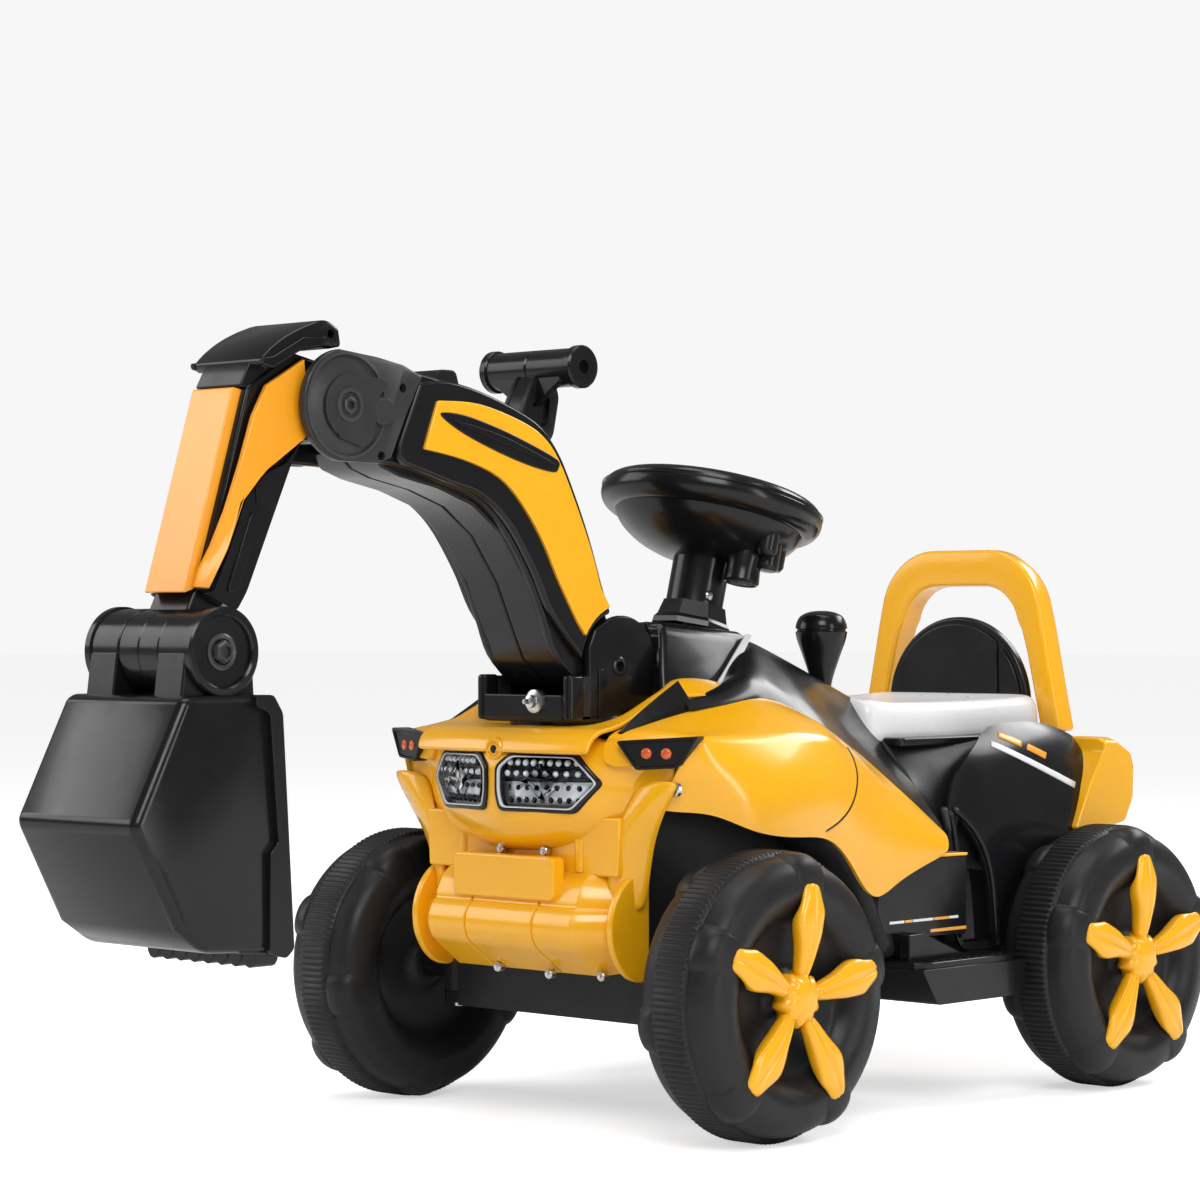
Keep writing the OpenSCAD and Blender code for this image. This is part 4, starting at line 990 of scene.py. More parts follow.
def on_face(obj, points, side, lift):
    """Side-view (y, z) points laid on the outer face of a baked piece."""
    found = []
    for y, z in points:
        hit, spot, _, _ = obj.ray_cast(Vector((side * 300, y, z)) * MM, Vector((-side, 0, 0)))
        if hit:
            found.append((spot.x / MM + side * lift, y, z))
    return found


def make_fenders():
    for side, end in SIDES:
        rows = [[(x * side, y, z) for x, y, z in row] for row in FENDER]
        verts, faces = grid_mesh(rows)
        shell = add_piece(f"fender_{end}", verts, faces, *BODY_YELLOW, ["front_shell"])
        crease(shell, [[row[2] for row in rows[:7]]], 0.75)
        crease(shell, [rows[0]], 1.0)
        crease(shell, [rows[1][:4]], 0.85)
        crease(shell, [[row[5] for row in rows]], 1.0)
        subdivide(shell, 3)
        thicken(shell, 3.2)
        bake(shell)
        crisp(shell, 50)
        seam = catmull([(112, 272), (112, 260.7), (109, 248), (98, 232), (81, 220), (63, 213)], 6)
        pipe(f"fender_joint_{end}", on_face(shell, seam, side, -0.1), 0.8, *BODY_SATIN, (), 8)
        turned(f"fender_screw_{end}", [(0, -4), (1.4, -4), (1.8, -3.2), (4, -3.2), (5, -2.4), (5.2, 0),
            (0, 2)], lambda a, b, h, s=side: (s * (137 + a * 0.9 + h * 0.35), -66 + h * 0.93, 247 + b),
            *BODY_STEEL, ["body_screws"], count=32)


def make_deck():
    xs = (-86, -80, -72, -64, -54, -40, -22, 0, 22, 40, 54, 64, 72, 80, 86)
    rise = {-104: 0, -101: 0, -96: 0, -90: 0, -84: 0, -70: 2, -56: 7, -38: 16, -20: 26, 0: 33, 12: 34,
        24: 34, 40: 33, 52: 31, 64: 28}
    front = {-104: 271, -101: 279, -96: 283.6, -90: 286.4, -84: 287.6}
    rows = []
    for y, top in rise.items():
        row = []
        for x in xs:
            base = front.get(y, 288)
            t = min(1, max(0, (math.hypot(x, y + 30) - 63) / 8))
            bow = y - 7 * (1 - (abs(x) / 86) ** 2) * (y <= -84)
            out = min(1, max(0, (y + 38) / 50)) * max(0, (abs(x) - 72) / 14)
            row.append((x * (1 + 0.14 * out), bow, base + top * t * t * (3 - 2 * t) - 13 * out))
        rows.append(row)
    skin("deck", rows, *BODY_YELLOW, ["front_shell"], thickness=3.0, levels=2)


def make_cheeks():
    """Walls that close the gap between the nose, the deck and the fenders."""
    for side, end in SIDES:
        rows = [[(80, -86, 282), (94, -80, 282), (110, -70, 282)], [(92, -72, 264), (116, -70, 264),
            (138, -64, 266)], [(94, -74, 250), (114, -73, 250), (131, -66, 250)],
            [(92, -74, 238), (110, -73, 238), (124, -69, 238)], [(90, -72, 224), (106, -70, 224),
            (118, -70, 226)]]
        skin(f"cheek_{end}", rows, *BODY_YELLOW, (), 2.4, 2, side)


def make_pods():
    """Indicator pods: u runs along the pod, z up and d out of its face."""
    across = Vector((0.93, 0.368))
    out = Vector((0.368, -0.93))
    for side, end in SIDES:
        def at(u, z, d, s=side):
            x, y = Vector((98.5, -80.5)) + across * u + out * (d + 6)
            return (s * x, y, z)

        outline = rounded([(-3, 280.5), (60, 284.5), (44, 262), (12, 260)], 3, 3)
        middle = (27, 272)

        def ring(scale, d):
            return [at(middle[0] + (u - middle[0]) * (1 + (scale - 1) * 0.6), middle[1]
                + (z - middle[1]) * scale, d) for u, z in outline]

        steps = [(1.0, -12), (1.0, 0.6), (0.95, 1.6), (0.84, 1.6), (0.79, 0.9), (0.77, 0.2)]
        pod = tube_loft(f"indicator_pod_{end}", [ring(s, d) for s, d in steps], *BODY_BLACK,
            ["indicator_bezels"], levels=0)
        crisp(pod, 30)
        lamps = []
        for k, u in enumerate((20, 35)):
            rings = []
            for r, d in [(0.1, -3), (4, -3), (4, 0.6), (3.6, 1.3), (2.6, 1.8), (1.3, 2.1), (0.1, 2.2)]:
                rings.append(circle(lambda a, b, h, u=u: at(u + a, 272 + b, h), r, d, 28))
            lamps.append(crisp(tube_loft(f"lamp_{end}{k}", rings, "vehicle", "lamp_orange",
                ["indicator_lamps"], levels=0), 40))
        join(f"lamps_{end}", lamps)


def make_strakes():
    for side, end in SIDES:
        rows = []
        for y, base, width, height, x in [(-76, 286, 1.0, 0.6, 92), (-66, 287, 5, 5, 90),
                (-48, 290, 9, 12, 88), (-28, 295, 12, 18, 87), (-10, 301, 14, 21, 86),
                (-4, 303, 12, 10, 87)]:
            rows.append([(side * (x + width), y, base - 2), (side * (x + width * 0.9), y, base
                + height * 0.35), (side * (x + 1), y, base + height), (side * (x - 2), y, base
                + height * 0.92), (side * (x - 5), y, base - 2)])
        blade = tube_loft(f"hood_strake_{end}", rows, *BODY_BLACK, ["hood_strakes"], levels=0)
        soften(blade, 0.8, 2, 25)


def make_bumper():
    parts = []
    plate = prism("bumper_plate", rounded(box(-51, 165.5, 51, 197), 5, 4), -103, -90, "y", *BODY_YELLOW,
        ["front_bumper"], 2.2, 4)
    parts.append(plate)
    roll = [(-62, 186), (-84, 186), (-94, 178), (-99, 167)] + arc(-88, 146, 20, 125, 235, 14) + [(-84, 118),
        (-76, 112), (-62, 112)]
    for n, a, b in [("a", -72, -34.5), ("b", -33.5, 33.5), ("c", 34.5, 72)]:
        parts.append(prism(f"bumper_roll_{n}", roll, a, b, "x", *BODY_YELLOW, (), 1.2, 3))
    parts.append(prism("bumper_roll_core", [(y + 1.6 * (y < -70), z) for y, z in roll], -71, 71, "x",
        *BODY_YELLOW, (), 0))
    for side, end in SIDES:
        wing = []
        for x, back, squeeze in [(71, 0, 1), (78, 5, 0.97), (88, 17, 0.9), (97, 26, 0.86)]:
            wing.append([(side * x, min(-60, y + back), 149 + (z - 149) * squeeze) for y, z in roll])
        parts.append(crisp(tube_loft(f"bumper_wing_{end}", wing, *BODY_YELLOW, levels=0), 25))
        ear = [(-56, 186), (-70, 187), (-82, 180), (-92, 168), (-97, 152), (-95, 134), (-86, 119),
            (-74, 110), (-56, 108)]
        parts.append(side_prism(f"bumper_ear_{end}", rounded(ear, 8, 4), 96, 102, side, *BODY_YELLOW, (),
            2.0))
        rows = [[(108, -72, 250), (124, -76, 252), (146, -72, 254)],
            [(100, -76, 234), (116, -80, 238), (136, -72, 240)], [(92, -79, 218), (106, -80, 220),
            (124, -70, 222)], [(86, -80, 202), (99, -78, 203), (114, -66, 204)],
            [(84, -79, 182), (97, -76, 180), (108, -64, 178)], [(84, -79, 160), (97, -76, 160),
            (104, -64, 160)]]
        parts.append(skin(f"bumper_strut_{end}", rows, *BODY_YELLOW, (), 4.0, 2, side))
        parts.append(prism(f"bumper_post_{end}", rounded(box(side * 55, -86, side * 63, -74), 3.4, 4), 186,
            210, "z", *BODY_YELLOW, (), 1.4))
    wall = prism("bumper_wall", [(-96, 184), (96, 184), (98, 226), (-98, 226)], -84, -68, "y", *BODY_YELLOW,
        (), 2)
    parts.append(wall)
    join("bumper_shell", parts)
    screws = []
    for k, (x, y, z) in enumerate([(-15, -88, 200), (29, -88, 200), (-24, -82, 113), (32, -86, 112),
            (78, -80, 113)]):
        screws.append(turned(f"bumper_screw{k}", [(0, y - 3.4), (1.2, y - 3.4), (1.6, y - 2.6),
            (3, y - 2.4), (3.6, y - 1.6), (3.6, y + 3), (0, y + 3)], about_y(x, z), *BODY_STEEL, (),
            count=24))
    join("bumper_screws", screws)


def make_wheel_wells():
    """Black inner sides of the wheel arches, and the dark band under the fenders' rear edge."""
    for side, end in SIDES:
        wall = [(-62, 128), (-62, 268), (-40, 284), (60, 296), (98, 286), (130, 262), (130, 118),
            (100, 128)]
        side_prism(f"arch_wall_{end}", wall, 97, 101, side, *BODY_SATIN, (), 1.5)
        arch = [(156, 60, 214), (154, 100, 190), (150, 128, 154), (150, 142, 128), (152, 152, 112)]
        inner = [(x - 3, y + 12, z + 8) for x, y, z in arch]
        deep = [(104, y + 4, z + 2) for x, y, z in arch]
        skin(f"arch_band_{end}", list(zip(inner, arch, deep)), *BODY_SATIN, (), 3.0, 1, side)


# ---------------------------------------------------------------- dash, console and steering


def full_width(row):
    """A row given from the +X edge to the middle, carried on to the mirrored edge."""
    return row + [(-x, y, z) for x, y, z in reversed(row) if x > 0.01]


CONSOLE = {  # y: (x, z) of a cross section from its lower edge to the crest
    -14: [(101, 299), (100, 302), (98, 304.5), (95, 306.5), (92, 307), (89, 305.5), (86, 301)],
    10: [(104, 303), (102, 306.5), (99, 309.5), (95, 311), (91, 310.5), (87, 308.5), (84, 304)],
    30: [(105, 304), (104, 307), (101, 311), (97, 314), (93, 316), (89, 315), (86, 310)],
    45: [(104, 306), (103, 310), (99, 315), (94, 319), (88, 321), (83, 320), (78, 314)],
    58: [(103, 307), (101, 313), (96, 319), (90, 323), (83, 324), (76, 322), (69, 316)],
    71: [(102, 308), (98, 315), (92, 321), (84, 327), (75, 330), (67, 329), (60, 326)],
    85: [(104, 303), (99, 311), (92, 319), (82, 328), (72, 335), (63, 337), (55, 335)],
    100: [(109, 296), (101, 305), (92, 314), (81, 325), (70, 335), (60, 342), (50, 345)],
    114: [(114, 288), (104, 299), (93, 310), (81, 321), (68, 333), (55, 344), (43, 350)],
    123: [(117, 283), (106, 295), (94, 307), (81, 319), (67, 332), (53, 343), (42, 348)],
    160: [(128, 255), (117, 269), (104, 283), (91, 295), (76, 309), (61, 323), (49, 333)],
    200: [(138, 225), (126, 241), (112, 255), (98, 268), (83, 284), (68, 303), (56, 315)],
    219: [(143, 210), (130, 227), (114, 244), (98, 258), (84, 272), (69, 294), (58, 307)],
}


def make_console():
    rows = []
    for y, row in CONSOLE.items():
        line = [(x, y, z) for x, z in row]
        x, z = row[-1]
        top = z + 1.5 if y > 110 else z - 8
        rows.append(full_width(line + [(x * 0.72, y, top), (x * 0.36, y, top + 0.6), (0, y, top + 0.8)]))
    last = rows[-1]
    rows.append([(x, 226, z - 1.5 if abs(x) > 56 else z - 2.5) for x, y, z in last])
    rows.append([(x * 0.99, 228.5, min(z - 6, 262 + (60 - abs(x)) * 0.1) if abs(x) < 80 else z - 6)
        for x, y, z in last])
    console = skin("console", rows, *BODY_BLACK, ["console_cover"], 3.0, 2)
    tool = prism("lever_slot", box(35, 190, 53, 223), 270, 360, "z", *BODY_STEEL, (), 0)
    crisp(cut(console, tool), 45)


def make_dash():
    rings = []
    for z, half, front, back in [(284, 69, -4, 132), (300, 66, -1, 131), (330, 56, 7, 128),
            (350, 46.5, 17, 121), (357, 43, 19, 118), (361, 39, 22, 114)]:
        c = 4
        hollow = [(half * 0.76, max(front + 12, 14)), (half * 0.58, 23), (half * 0.36, 28.5), (0, 31)]
        plan = [(-half, front + c), (-half + c, front)] + [(-x, y) for x, y in hollow] + [(x, y)
            for x, y in hollow[2::-1]]
        plan += [(half - c, front), (half, front + c), (half, back - c), (half - c, back),
            (-half + c, back), (-half, back - c)]
        slope = 0.09 if z > 340 else 0
        rings.append([(x, y, z + (66 - y) * slope) for x, y in plan])
    shell = tube_loft("dash", rings, *BODY_BLACK, ["dash_pod"], levels=0)
    soften(shell, 2.0, 3, 18)
    hole = turned("dash_hole", [(23.5, -160), (23.5, 20)], column, *BODY_STEEL, count=48)
    cut(shell, hole)
    crisp(shell, 30)
    # white strips along the seam where the dash meets the console: a painted highlight, white plastic put
    # where that edge catches the light
    for side, end in SIDES:
        low = [(66, 54, 317), (71, 62, 319), (47, 116, 352.5), (43.5, 112, 353.5)]
        verts = [(side * (x - 3), y, z - 3) for x, y, z in low] + [(side * (x + 2.4), y - 0.6, z + 2)
            for x, y, z in low]
        faces = [(0, 1, 2, 3), (4, 5, 6, 7), (0, 1, 5, 4), (1, 2, 6, 5), (2, 3, 7, 6), (3, 0, 4, 7)]
        soften(add_piece(f"dash_highlight_strip_{end}", verts, faces, "vehicle", "white_plastic", smooth=False), 0.6,
            2)
    turned("collar_ring", [(22.6, -97), (32, -97), (31.6, -93), (29, -90), (25.6, -78), (22.6, -78)],
        column, *BODY_BLACK, ["column_collar"], sides=8, angle=12)


def make_steering():
    rim = []
    for k in range(26):
        a = math.radians(-118 + 236 * k / 25)
        r, h = 73 + 13 * math.cos(a), 13 * math.sin(a)
        if k == 15:
            r -= 0.9
        rim.append((r, h))
    upper = [(62, 3), (56, -3), (40, -6), (26, -7)]
    lower = [(26, -25), (38, -25), (48, -22.5), (57, -18), (63, -13)]
    section = rim + upper + lower
    wheel = ring_of("steering_wheel_rim", section, column, *STEERING_BLACK, ["steering_rim"], 96, 28)
    bowl = turned("bowl", [(24, -8), (70, -4), (74, -10)] + catmull([(73.5, -12), (67, -22), (54, -32),
        (38, -39), (27, -42)], 4) + [(24, -42.5)], column, *STEERING_BLACK, count=96, angle=40)
    groove = [(85.2, 5.5), (86.2, 5.2), (86.4, 4.2), (85.4, 3.8)]
    line = ring_of("rim_bead", groove, column, *STEERING_BLACK, (), 96)
    spokes = [wheel, line, bowl]
    for k, base in enumerate((12, 102, 192, 282)):
        mid = math.radians(base)
        rings = []
        for r, half, top in [(25, 9, -25.5), (42, 8, -25), (54, 6.5, -21), (63, 5, -15.5)]:
            ring = []
            for across, h in ((-half, top + 4), (-half * 0.7, top - 1.2), (half * 0.7, top - 1.2),
                    (half, top + 4)):
                ring.append(column(r * math.cos(mid) - across * math.sin(mid), r * math.sin(mid)
                    + across * math.cos(mid), h))
            rings.append(ring)
        spokes.append(crisp(tube_loft(f"spoke{k}", rings, *STEERING_BLACK, levels=0), 30))
    join("steering_wheel_rim", spokes)
    hub = turned("steering_sleeve", [(7, -83.6), (20.6, -83.6), (21.9, -82.4), (21.9, -40), (22.4, -38),
        (24, -31), (25.6, -27), (26, -6.6), (24.6, -5.4), (7, -5.4)], column, *STEERING_BLACK,
        ["steering_hub"], 72)
    wells = [turned(f"key_well{k}", [(7.3, -14), (7.3, 5)], lambda a, b, h, x=x: column(a + x, b, h),
        "steering", "steel", count=40) for k, x in enumerate((-11, 11))]
    crisp(cut(hub, *wells), 35)
    turned("sleeve_screw", [(0, 19.5), (4, 19.5), (4, 22.6), (3, 23.6), (1.2, 23.8), (1, 23), (0, 23)],
        lambda a, b, h: column(h * 0.94, h * -0.34 + a, -72 + b), "steering", "steel", (), 28)
    for name, x, node, slot_name in [("music_key", -11, "music_button", "button_red"),
            ("horn_key", 11, "horn_button", "button_yellow")]:
        turned(f"{name}_cap", [(0, -10.8), (6.9, -10.8), (6.9, -4.6), (6, -3.6), (3, -3.3), (0, -3.5)],
            lambda a, b, h, x=x: column(a + x, b, h), name, slot_name, [node], 48)
    pod = turned("speaker_pod", [(0, -24), (13, -24), (14.4, -40), (13, -46), (13.4, -52), (13.8, -57),
        (12.6, -58.6), (11.2, -57.6), (10.8, -56), (0, -56)], lambda a, b, h: column(a + 38, b + 6, h),
        *STEERING_BLACK, ["sound_module"], 56)
    grille = []
    for k in range(7):
        c = (k - 3) * 3
        half = math.sqrt(max(0, 10.4**2 - c * c))
        for flip in (0, 1):
            pts = [(-half, c - 0.55), (half, c - 0.55), (half, c + 0.55), (-half, c + 0.55)]
            rings = []
            for h in (-58.2, -56.4):
                rings.append([column(38 + (q if flip else p), 6 + (p if flip else q), h) for p, q in pts])
            grille.append(tube_loft(f"grille{k}{flip}", rings, "steering", "black_satin", levels=0))
    ears = []
    for k, (a, b, r, deep) in enumerate([(52, 16, 8, -46), (60, 4, 7, -37), (46, 30, 7, -42),
            (30, 34, 6, -38)]):
        ears.append(turned(f"pod_knuckle{k}", [(0, -14), (r + 1.5, -14), (r + 1, deep + 3), (r - 1, deep),
            (0, deep - 0.6)], lambda u, v, h, a=a, b=b: column(u + a, v + b, h), *STEERING_BLACK, (), 36))
    join("speaker_pod", [pod] + ears)
    join("speaker_grille", grille)


def make_lever():
    low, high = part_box("lever_knob")
    x, y = (low.x + high.x) / 2 / MM, (low.y + high.y) / 2 / MM
    profile = catmull([(7.4, 312), (8.6, 319), (10.6, 326), (14.6, 338), (18.6, 349), (20, 355)], 4)
    band = [(20.2, 356.6), (18.9, 357.2), (18.9, 358.6), (20.2, 359.2)]
    dome = catmull([(20.1, 359.6), (19.4, 363.5), (16.6, 368.5), (11, 371.6), (5, 372.8), (0.1, 373)], 4)
    turned("lever_knob", [(0, 312)] + profile + band + dome, about_z(x, y), "shift_lever", "black_plastic",
        ["lever_knob"], 72)


# ---------------------------------------------------------------- seat and rear


def make_seat():
    """Seat: rounded rectangles from the underside over the rim to the sunken middle."""
    rings = []
    for inset, z in [(1.0, 269), (0, 270.5), (0, 288), (1, 294), (4, 299.5), (9, 302), (16, 300.5),
            (26, 298), (45, 296.5), (80, 296)]:
        ring = []
        half, front, back = 88 - inset, 209 + inset * (1 if inset > 40 else 0.9), 438 - inset
        for k in range(64):
            t = 2 * math.pi * k / 64
            c, s = math.cos(t), math.sin(t)
            x = half * math.copysign(abs(c) ** 0.17, c)
            mid, reach = (front + back) / 2, (back - front) / 2
            y = mid + reach * math.copysign(abs(s) ** 0.17, s)
            rise = 4 * max(0.0, (y - 330) / 100) ** 2 + 3 * max(0.0, (262 - y) / 40) ** 2 if z > 290 else 0
            ring.append((x, y, z + rise))
        rings.append(ring)
    tube_loft("seat_cushion", rings, "vehicle", "white_plastic", ["seat"], levels=1)


def make_hoop():
    outer = [(103.8, 275), (98, 301), (90, 341), (85, 366)]
    outer += arc(28, 369, 55, 10, 90, 12)
    inner = [(83.1, 275), (77.6, 301), (68.5, 341), (63.5, 358)]
    inner += arc(24, 358, 36, 12, 90, 12)
    outer += [(-x, z) for x, z in reversed(outer)]
    inner += [(-x, z) for x, z in reversed(inner)]
    rings = []
    for (ox, oz), (ix, iz) in zip(outer, inner):
        cx, cz = (ox + ix) / 2, (oz + iz) / 2
        bx, bz = cx + (ox - cx) * 0.62, cz + (oz - cz) * 0.62
        rings.append([(ix, 434, iz), ((ox + ix) / 2, 432, (oz + iz) / 2), (ox, 433.5, oz),
            (ox * 0.995, 446, oz), (bx, 460, bz), (ix, 460, iz)])
    hoop = tube_loft("grab_hoop", rings, *BODY_YELLOW, ["backrest_hoop"], levels=0)
    soften(hoop, 3.6, 4, 28)


def make_backrest():
    dome = arc(0, 297, 71.5, 0, 180, 40) + [(-71.5, 276), (71.5, 276)]
    plate = prism("backrest_plate", dome, 431, 440, "y", *BODY_BLACK, ["backrest"], 2.5, 4)
    face = arc(0, 297, 66, 50, 172, 24) + [(-65, 302), (43, 302)]
    pad = prism("backrest_pad", rounded(face, 2, 2), 428.5, 432, "y", *BODY_BLACK, (), 1.4, 3)
    edge = arc(0, 297, 66, 8, 44, 12) + [(48, 302), (64, 302)]
    strip = prism("backrest_strip", edge, 428.8, 432, "y", *BODY_BLACK, (), 1.2, 3)
    join("backrest_plate", [plate, pad, strip])


def make_rear_body():
    for side, end in SIDES:
        rows = []
        for y, line in [(222, [(84, 273), (96, 262), (110, 247), (124, 232), (136, 216), (143, 208)]),
                (236, [(86, 273), (99, 264), (112, 248), (122, 226), (128, 204), (132, 190)]),
                (262, [(86, 273), (101, 266), (114, 250), (122, 226), (126, 200), (128, 176)]),
                (300, [(86, 273), (103, 270), (116, 256), (122, 228), (124, 200), (126, 170)]),
                (345, [(86, 274), (104, 275), (117, 262), (122, 230), (124, 200), (126, 170)]),
                (400, [(86, 274), (104, 278), (117, 266), (122, 232), (124, 205), (126, 190)]),
                (440, [(86, 274), (104, 276), (116, 264), (121, 238), (122, 220), (122, 206)])]:
            rows.append([(x, y, z) for x, z in line])
        skin(f"rear_flank_{end}", rows, *BODY_SATIN, ["rear_body"], 3.0, 2, side)
        side_prism(f"sill_{end}", [(136, 82), (136, 170), (150, 206), (250, 206), (440, 200), (440, 120),
            (300, 82)], 100, 116, side, *BODY_SATIN, ["chassis_tub"] if side > 0 else (), 3)
    prism("deck_under_seat", rounded(box(-104, 226, 104, 440), 6), 268, 275, "z", *BODY_BLACK, (), 2)


COVER = [  # rows from the top edge down, each from front to back
    [(110, 322, 281), (110, 350, 284), (110, 395, 284), (111, 438, 273), (113, 460, 257)],
    [(121, 300, 270), (122, 345, 275), (122, 395, 275), (124, 435, 262), (127, 452, 247)],
    [(127, 270, 254), (130, 325, 255), (131, 378, 252), (133, 412, 241), (136, 428, 236)],
    [(130, 250, 232), (139, 305, 226), (139, 358, 219), (139, 392, 210), (139, 404, 206)],
    [(132, 246, 206), (139, 282, 198), (138.5, 330, 186), (139, 372, 176), (139, 385, 174)],
    [(134, 250, 160), (139.5, 270, 158), (138.5, 284, 156), (138.5, 340, 151), (139, 366, 149)],
    [(135, 252, 112), (139.5, 270, 112), (138.5, 283, 112), (138.5, 330, 111), (139.5, 350, 110)],
]


def pipe(name, points, radius, body, slot, replaces=(), count=12):
    """A round bead along points."""
    rings = []
    for i, p in enumerate(points):
        ahead = Vector(points[min(i + 1, len(points) - 1)]) - Vector(points[max(i - 1, 0)])
        ahead.normalize()
        u = ahead.cross(Vector((1, 0, 0)))
        u = u.normalized() if u.length > 0.1 else Vector((0, 0, 1))
        v = ahead.cross(u)
        r = radius * (0.55 if i in (0, len(points) - 1) else 1)
        rings.append([tuple(Vector(p) + u * r * math.cos(2 * math.pi * k / count)
            + v * r * math.sin(2 * math.pi * k / count)) for k in range(count)])
    return tube_loft(name, rings, body, slot, replaces, levels=0)


def decal(name, corners, side, slot, cover):
    """A thin printed strip lying on a cover, given by side-view corners."""
    rows = []
    for k in range(13):
        t = k / 12
        ends = [[corners[m][i] + (corners[n][i] - corners[m][i]) * t for i in (0, 1)]
            for m, n in ((0, 1), (3, 2))]
        rows.append(on_face(cover, [[ends[0][i] + (ends[1][i] - ends[0][i]) * q / 3 for i in (0, 1)]
            for q in range(4)], side, 0.3))
    verts, faces = grid_mesh(rows)
    return bake(thicken(add_piece(name, verts, faces, "vehicle", slot), 0.7))


def make_rear_covers():
    fin = catmull([(259, 214), (270, 202), (281, 185), (289, 160), (294, 118)], 5) + [(259, 118),
        (258, 160), (255, 205)]
    for side, end in SIDES:
        cover = skin(f"rear_cover_{end}", COVER, *BODY_BLACK, ["rear_covers"], 3.2, 2, side)
        bake(cover)
        curve = catmull([(253, 221), (264, 213), (275, 202), (286, 184), (294, 158), (299, 114)], 5)
        right = on_face(cover, curve, side, 0.6)
        post = catmull([(249, 222), (253, 200), (256, 160), (256, 116)], 5)
        left = on_face(cover, post, side, 0.4)
        tool = side_prism(f"fin_tool_{end}", fin, 120, 160, side, *BODY_STEEL, (), 0)
        decal(f"cover_stripe_{end}", [(316, 271), (410, 236), (407, 231.5), (313, 267)], side,
            "white_plastic", cover)
        decal(f"cover_block_a_{end}", [(331, 278), (353, 270), (349, 265.5), (327, 273.5)], side,
            "orange_plastic", cover)
        decal(f"cover_block_b_{end}", [(359, 268), (380, 260), (376, 255.5), (355, 263.5)], side,
            "orange_plastic", cover)
        crisp(cut(cover, tool), 50)
        side_prism(f"fin_back_{end}", fin, 119, 123, side, *BODY_SATIN, (), 0)
        pipe(f"fin_strut_{end}", [(side * 131, y, z) for y, z in catmull([(244, 222), (251, 204),
            (258, 186)], 5)], 3.4, "vehicle", "grey_plastic")
        join(f"fin_bead_{end}", [pipe(f"fin_bead_{end}", right, 2.4, *BODY_BLACK),
            pipe(f"fin_post_{end}", left, 2.4, *BODY_BLACK)])


def make_tail():
    """Tail shell: side outlines lofted across the width, rounded at both ends."""
    outline = [(398, 200), (417, 234), (436, 260), (437, 272), (454, 271), (474, 261), (487, 246),
        (487, 222), (466, 203), (410, 193)]
    rings = []
    for x, back, low in [(-146, 478, 4), (-138, 484, 0), (-112, 488, 0), (0, 489, 0), (112, 488, 0),
            (138, 484, 0), (146, 478, 4)]:
        rings.append([(x, min(y, back - (276 - z) * 0.04), z - (low if z > 260 else 0))
            for y, z in outline])
    tail = tube_loft("tail_shell", rings, *BODY_YELLOW, ["tail_panel"], levels=0)
    soften(tail, 2.6, 4, 15)


def make_side_boxes():
    outline = [(141, 150), (143, 170), (149, 180), (159, 185.5), (172, 187), (249, 186), (249, 126),
        (204, 127), (150, 132)]
    for side, end in SIDES:
        side_prism(f"side_box_{end}", rounded(outline, 3, 3), 126, 149.5, side, *BODY_BLACK, ["side_boxes"],
            2.2, 4)
        top = [(146, 178), (151, 184), (160, 188.4), (173, 189.4), (249, 188.4), (249, 186), (172, 187),
            (160, 186), (152, 182)]
        side_prism(f"box_line_{end}", top, 127, 151, side, *BODY_YELLOW, (), 0.7, 2)
        for k, (a, b) in enumerate([(155, 172), (173, 182), (183, 207), (208, 226), (227, 238),
                (204, 248)]):
            low, high = (139, 141) if k < 5 else (130, 132.4)
            slot = ("white_plastic", "orange_plastic")[k % 2]
            side_prism(f"box_stripe_{'abcdef'[k]}_{end}", box(a, low, b, high), 149, 150.3, side, "vehicle",
                slot, (), 0.2, 1)


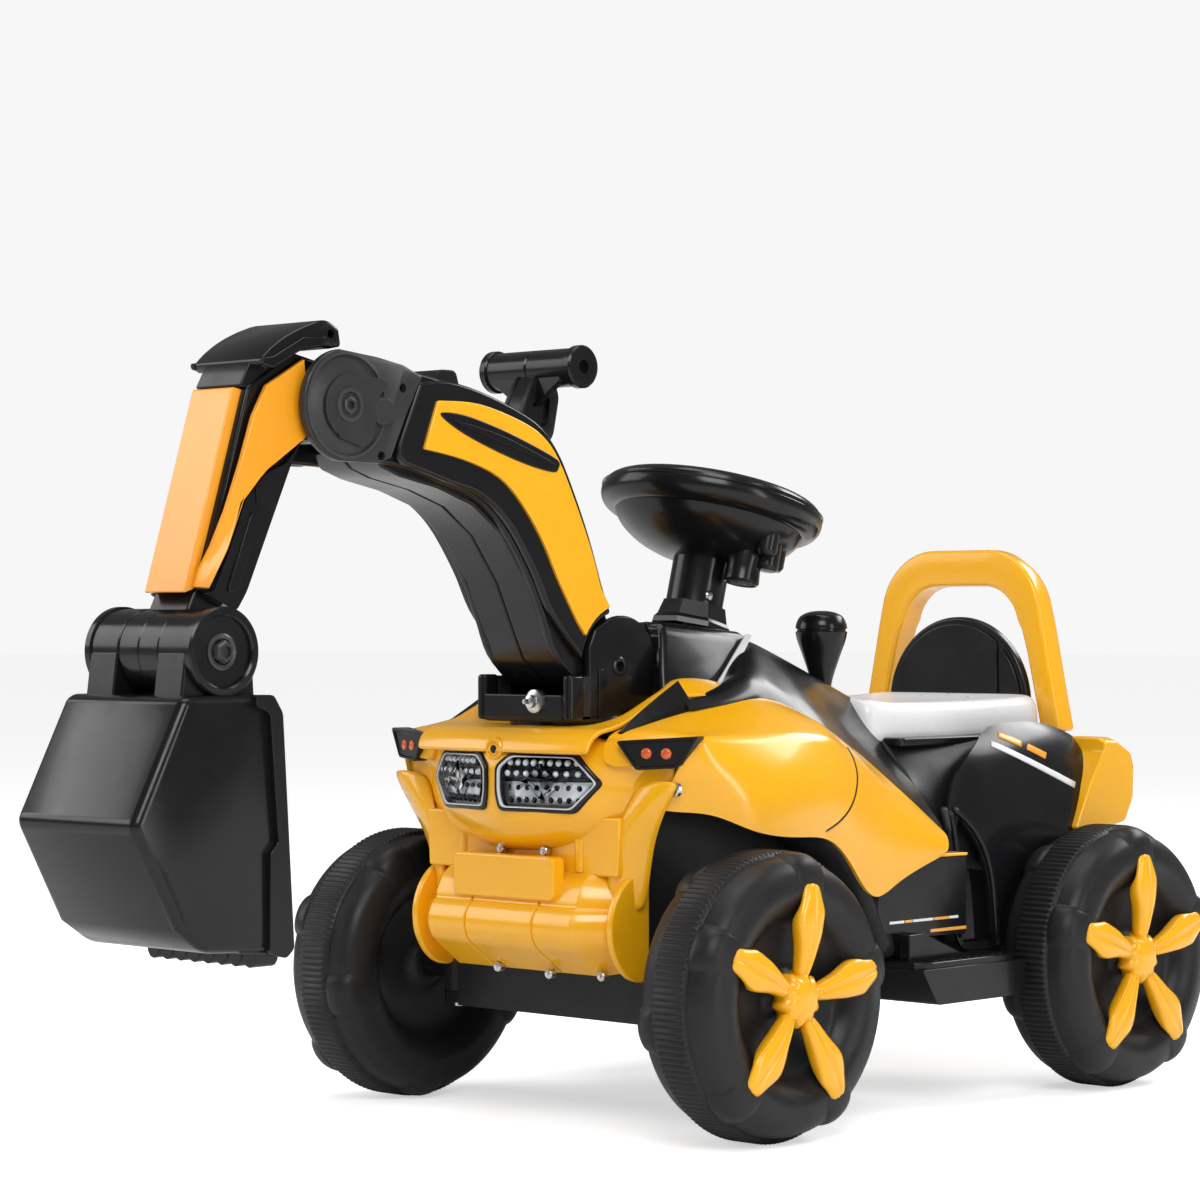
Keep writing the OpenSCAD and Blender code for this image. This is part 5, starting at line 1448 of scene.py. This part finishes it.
def make_footboards():
    for side, end in SIDES:
        slab = side_prism(f"footboard_{end}", rounded([(154, 107), (172, 80), (281, 80), (281, 107)], 3, 3),
            126, 182, side, *BODY_BLACK, ["footboards"], 2.6, 4)
        tread = prism(f"tread_{end}", [(side * x, y) for x, y in rounded([(128, 158), (171, 156),
            (179.5, 166), (180, 262), (176, 278), (128, 278)], 4, 3)], 106, 111.6, "z", *BODY_BLACK, (),
            1.6, 3)
        parts = [slab, tread]
        if side > 0:
            for k in range(9):
                y = 176 + k * 10
                parts.append(prism(f"tread_rib_{end}{k}", rounded(box(156, y, 176, y + 4), 1.5, 2), 111,
                    112.4, "z", *BODY_BLACK, (), 0.5, 2))
            parts.append(side_prism("step_wedge", [(166, 110), (166, 131), (184, 131), (236, 112),
                (236, 110)], 150, 160, side, *BODY_SATIN, (), 1.5))
        join(f"footboard_{end}", parts)
    ears = []
    for x in (-153, -179.5):
        ears.append(prism(f"pedal_ear{abs(int(x))}", [(185, 111), (195, 111), (193, 120.5), (187, 120.5)],
            x, x + 2.5, "x", *BODY_BLACK, (), 0.6, 2))
    join("pedal_ears", ears)
    plate = [(186, 113.6), (194, 113.6), (236, 120.2), (238, 122), (236, 124), (188, 119.4), (185.6, 116)]
    pedal = prism("pedal_plate", plate, -176, -154, "x", "pedal", "black_satin", ["foot_pedal"], 1.0)
    grips = [pedal]
    for k in range(5):
        y = 198 + k * 8
        z = 118.8 + (y - 188) * 0.094
        grips.append(prism(f"pedal_grip{k}", [(y, z), (y + 4, z + 0.4), (y + 3.4, z + 2),
            (y + 0.6, z + 1.6)], -174, -156, "x", "pedal", "black_satin", (), 0.4, 2))
    join("pedal_plate", grips)


for build in (make_camera, make_stage, dress_cad_nodes, make_wheels, make_boom, make_elbow, make_stick,
        make_bucket, make_tower, make_handle, make_head, make_headlights, make_fenders, make_deck,
        make_cheeks, make_pods, make_strakes, make_bumper, make_wheel_wells, make_console, make_dash,
        make_steering, make_lever, make_seat, make_hoop, make_backrest, make_rear_body, make_rear_covers,
        make_tail, make_side_boxes, make_footboards):
    build()
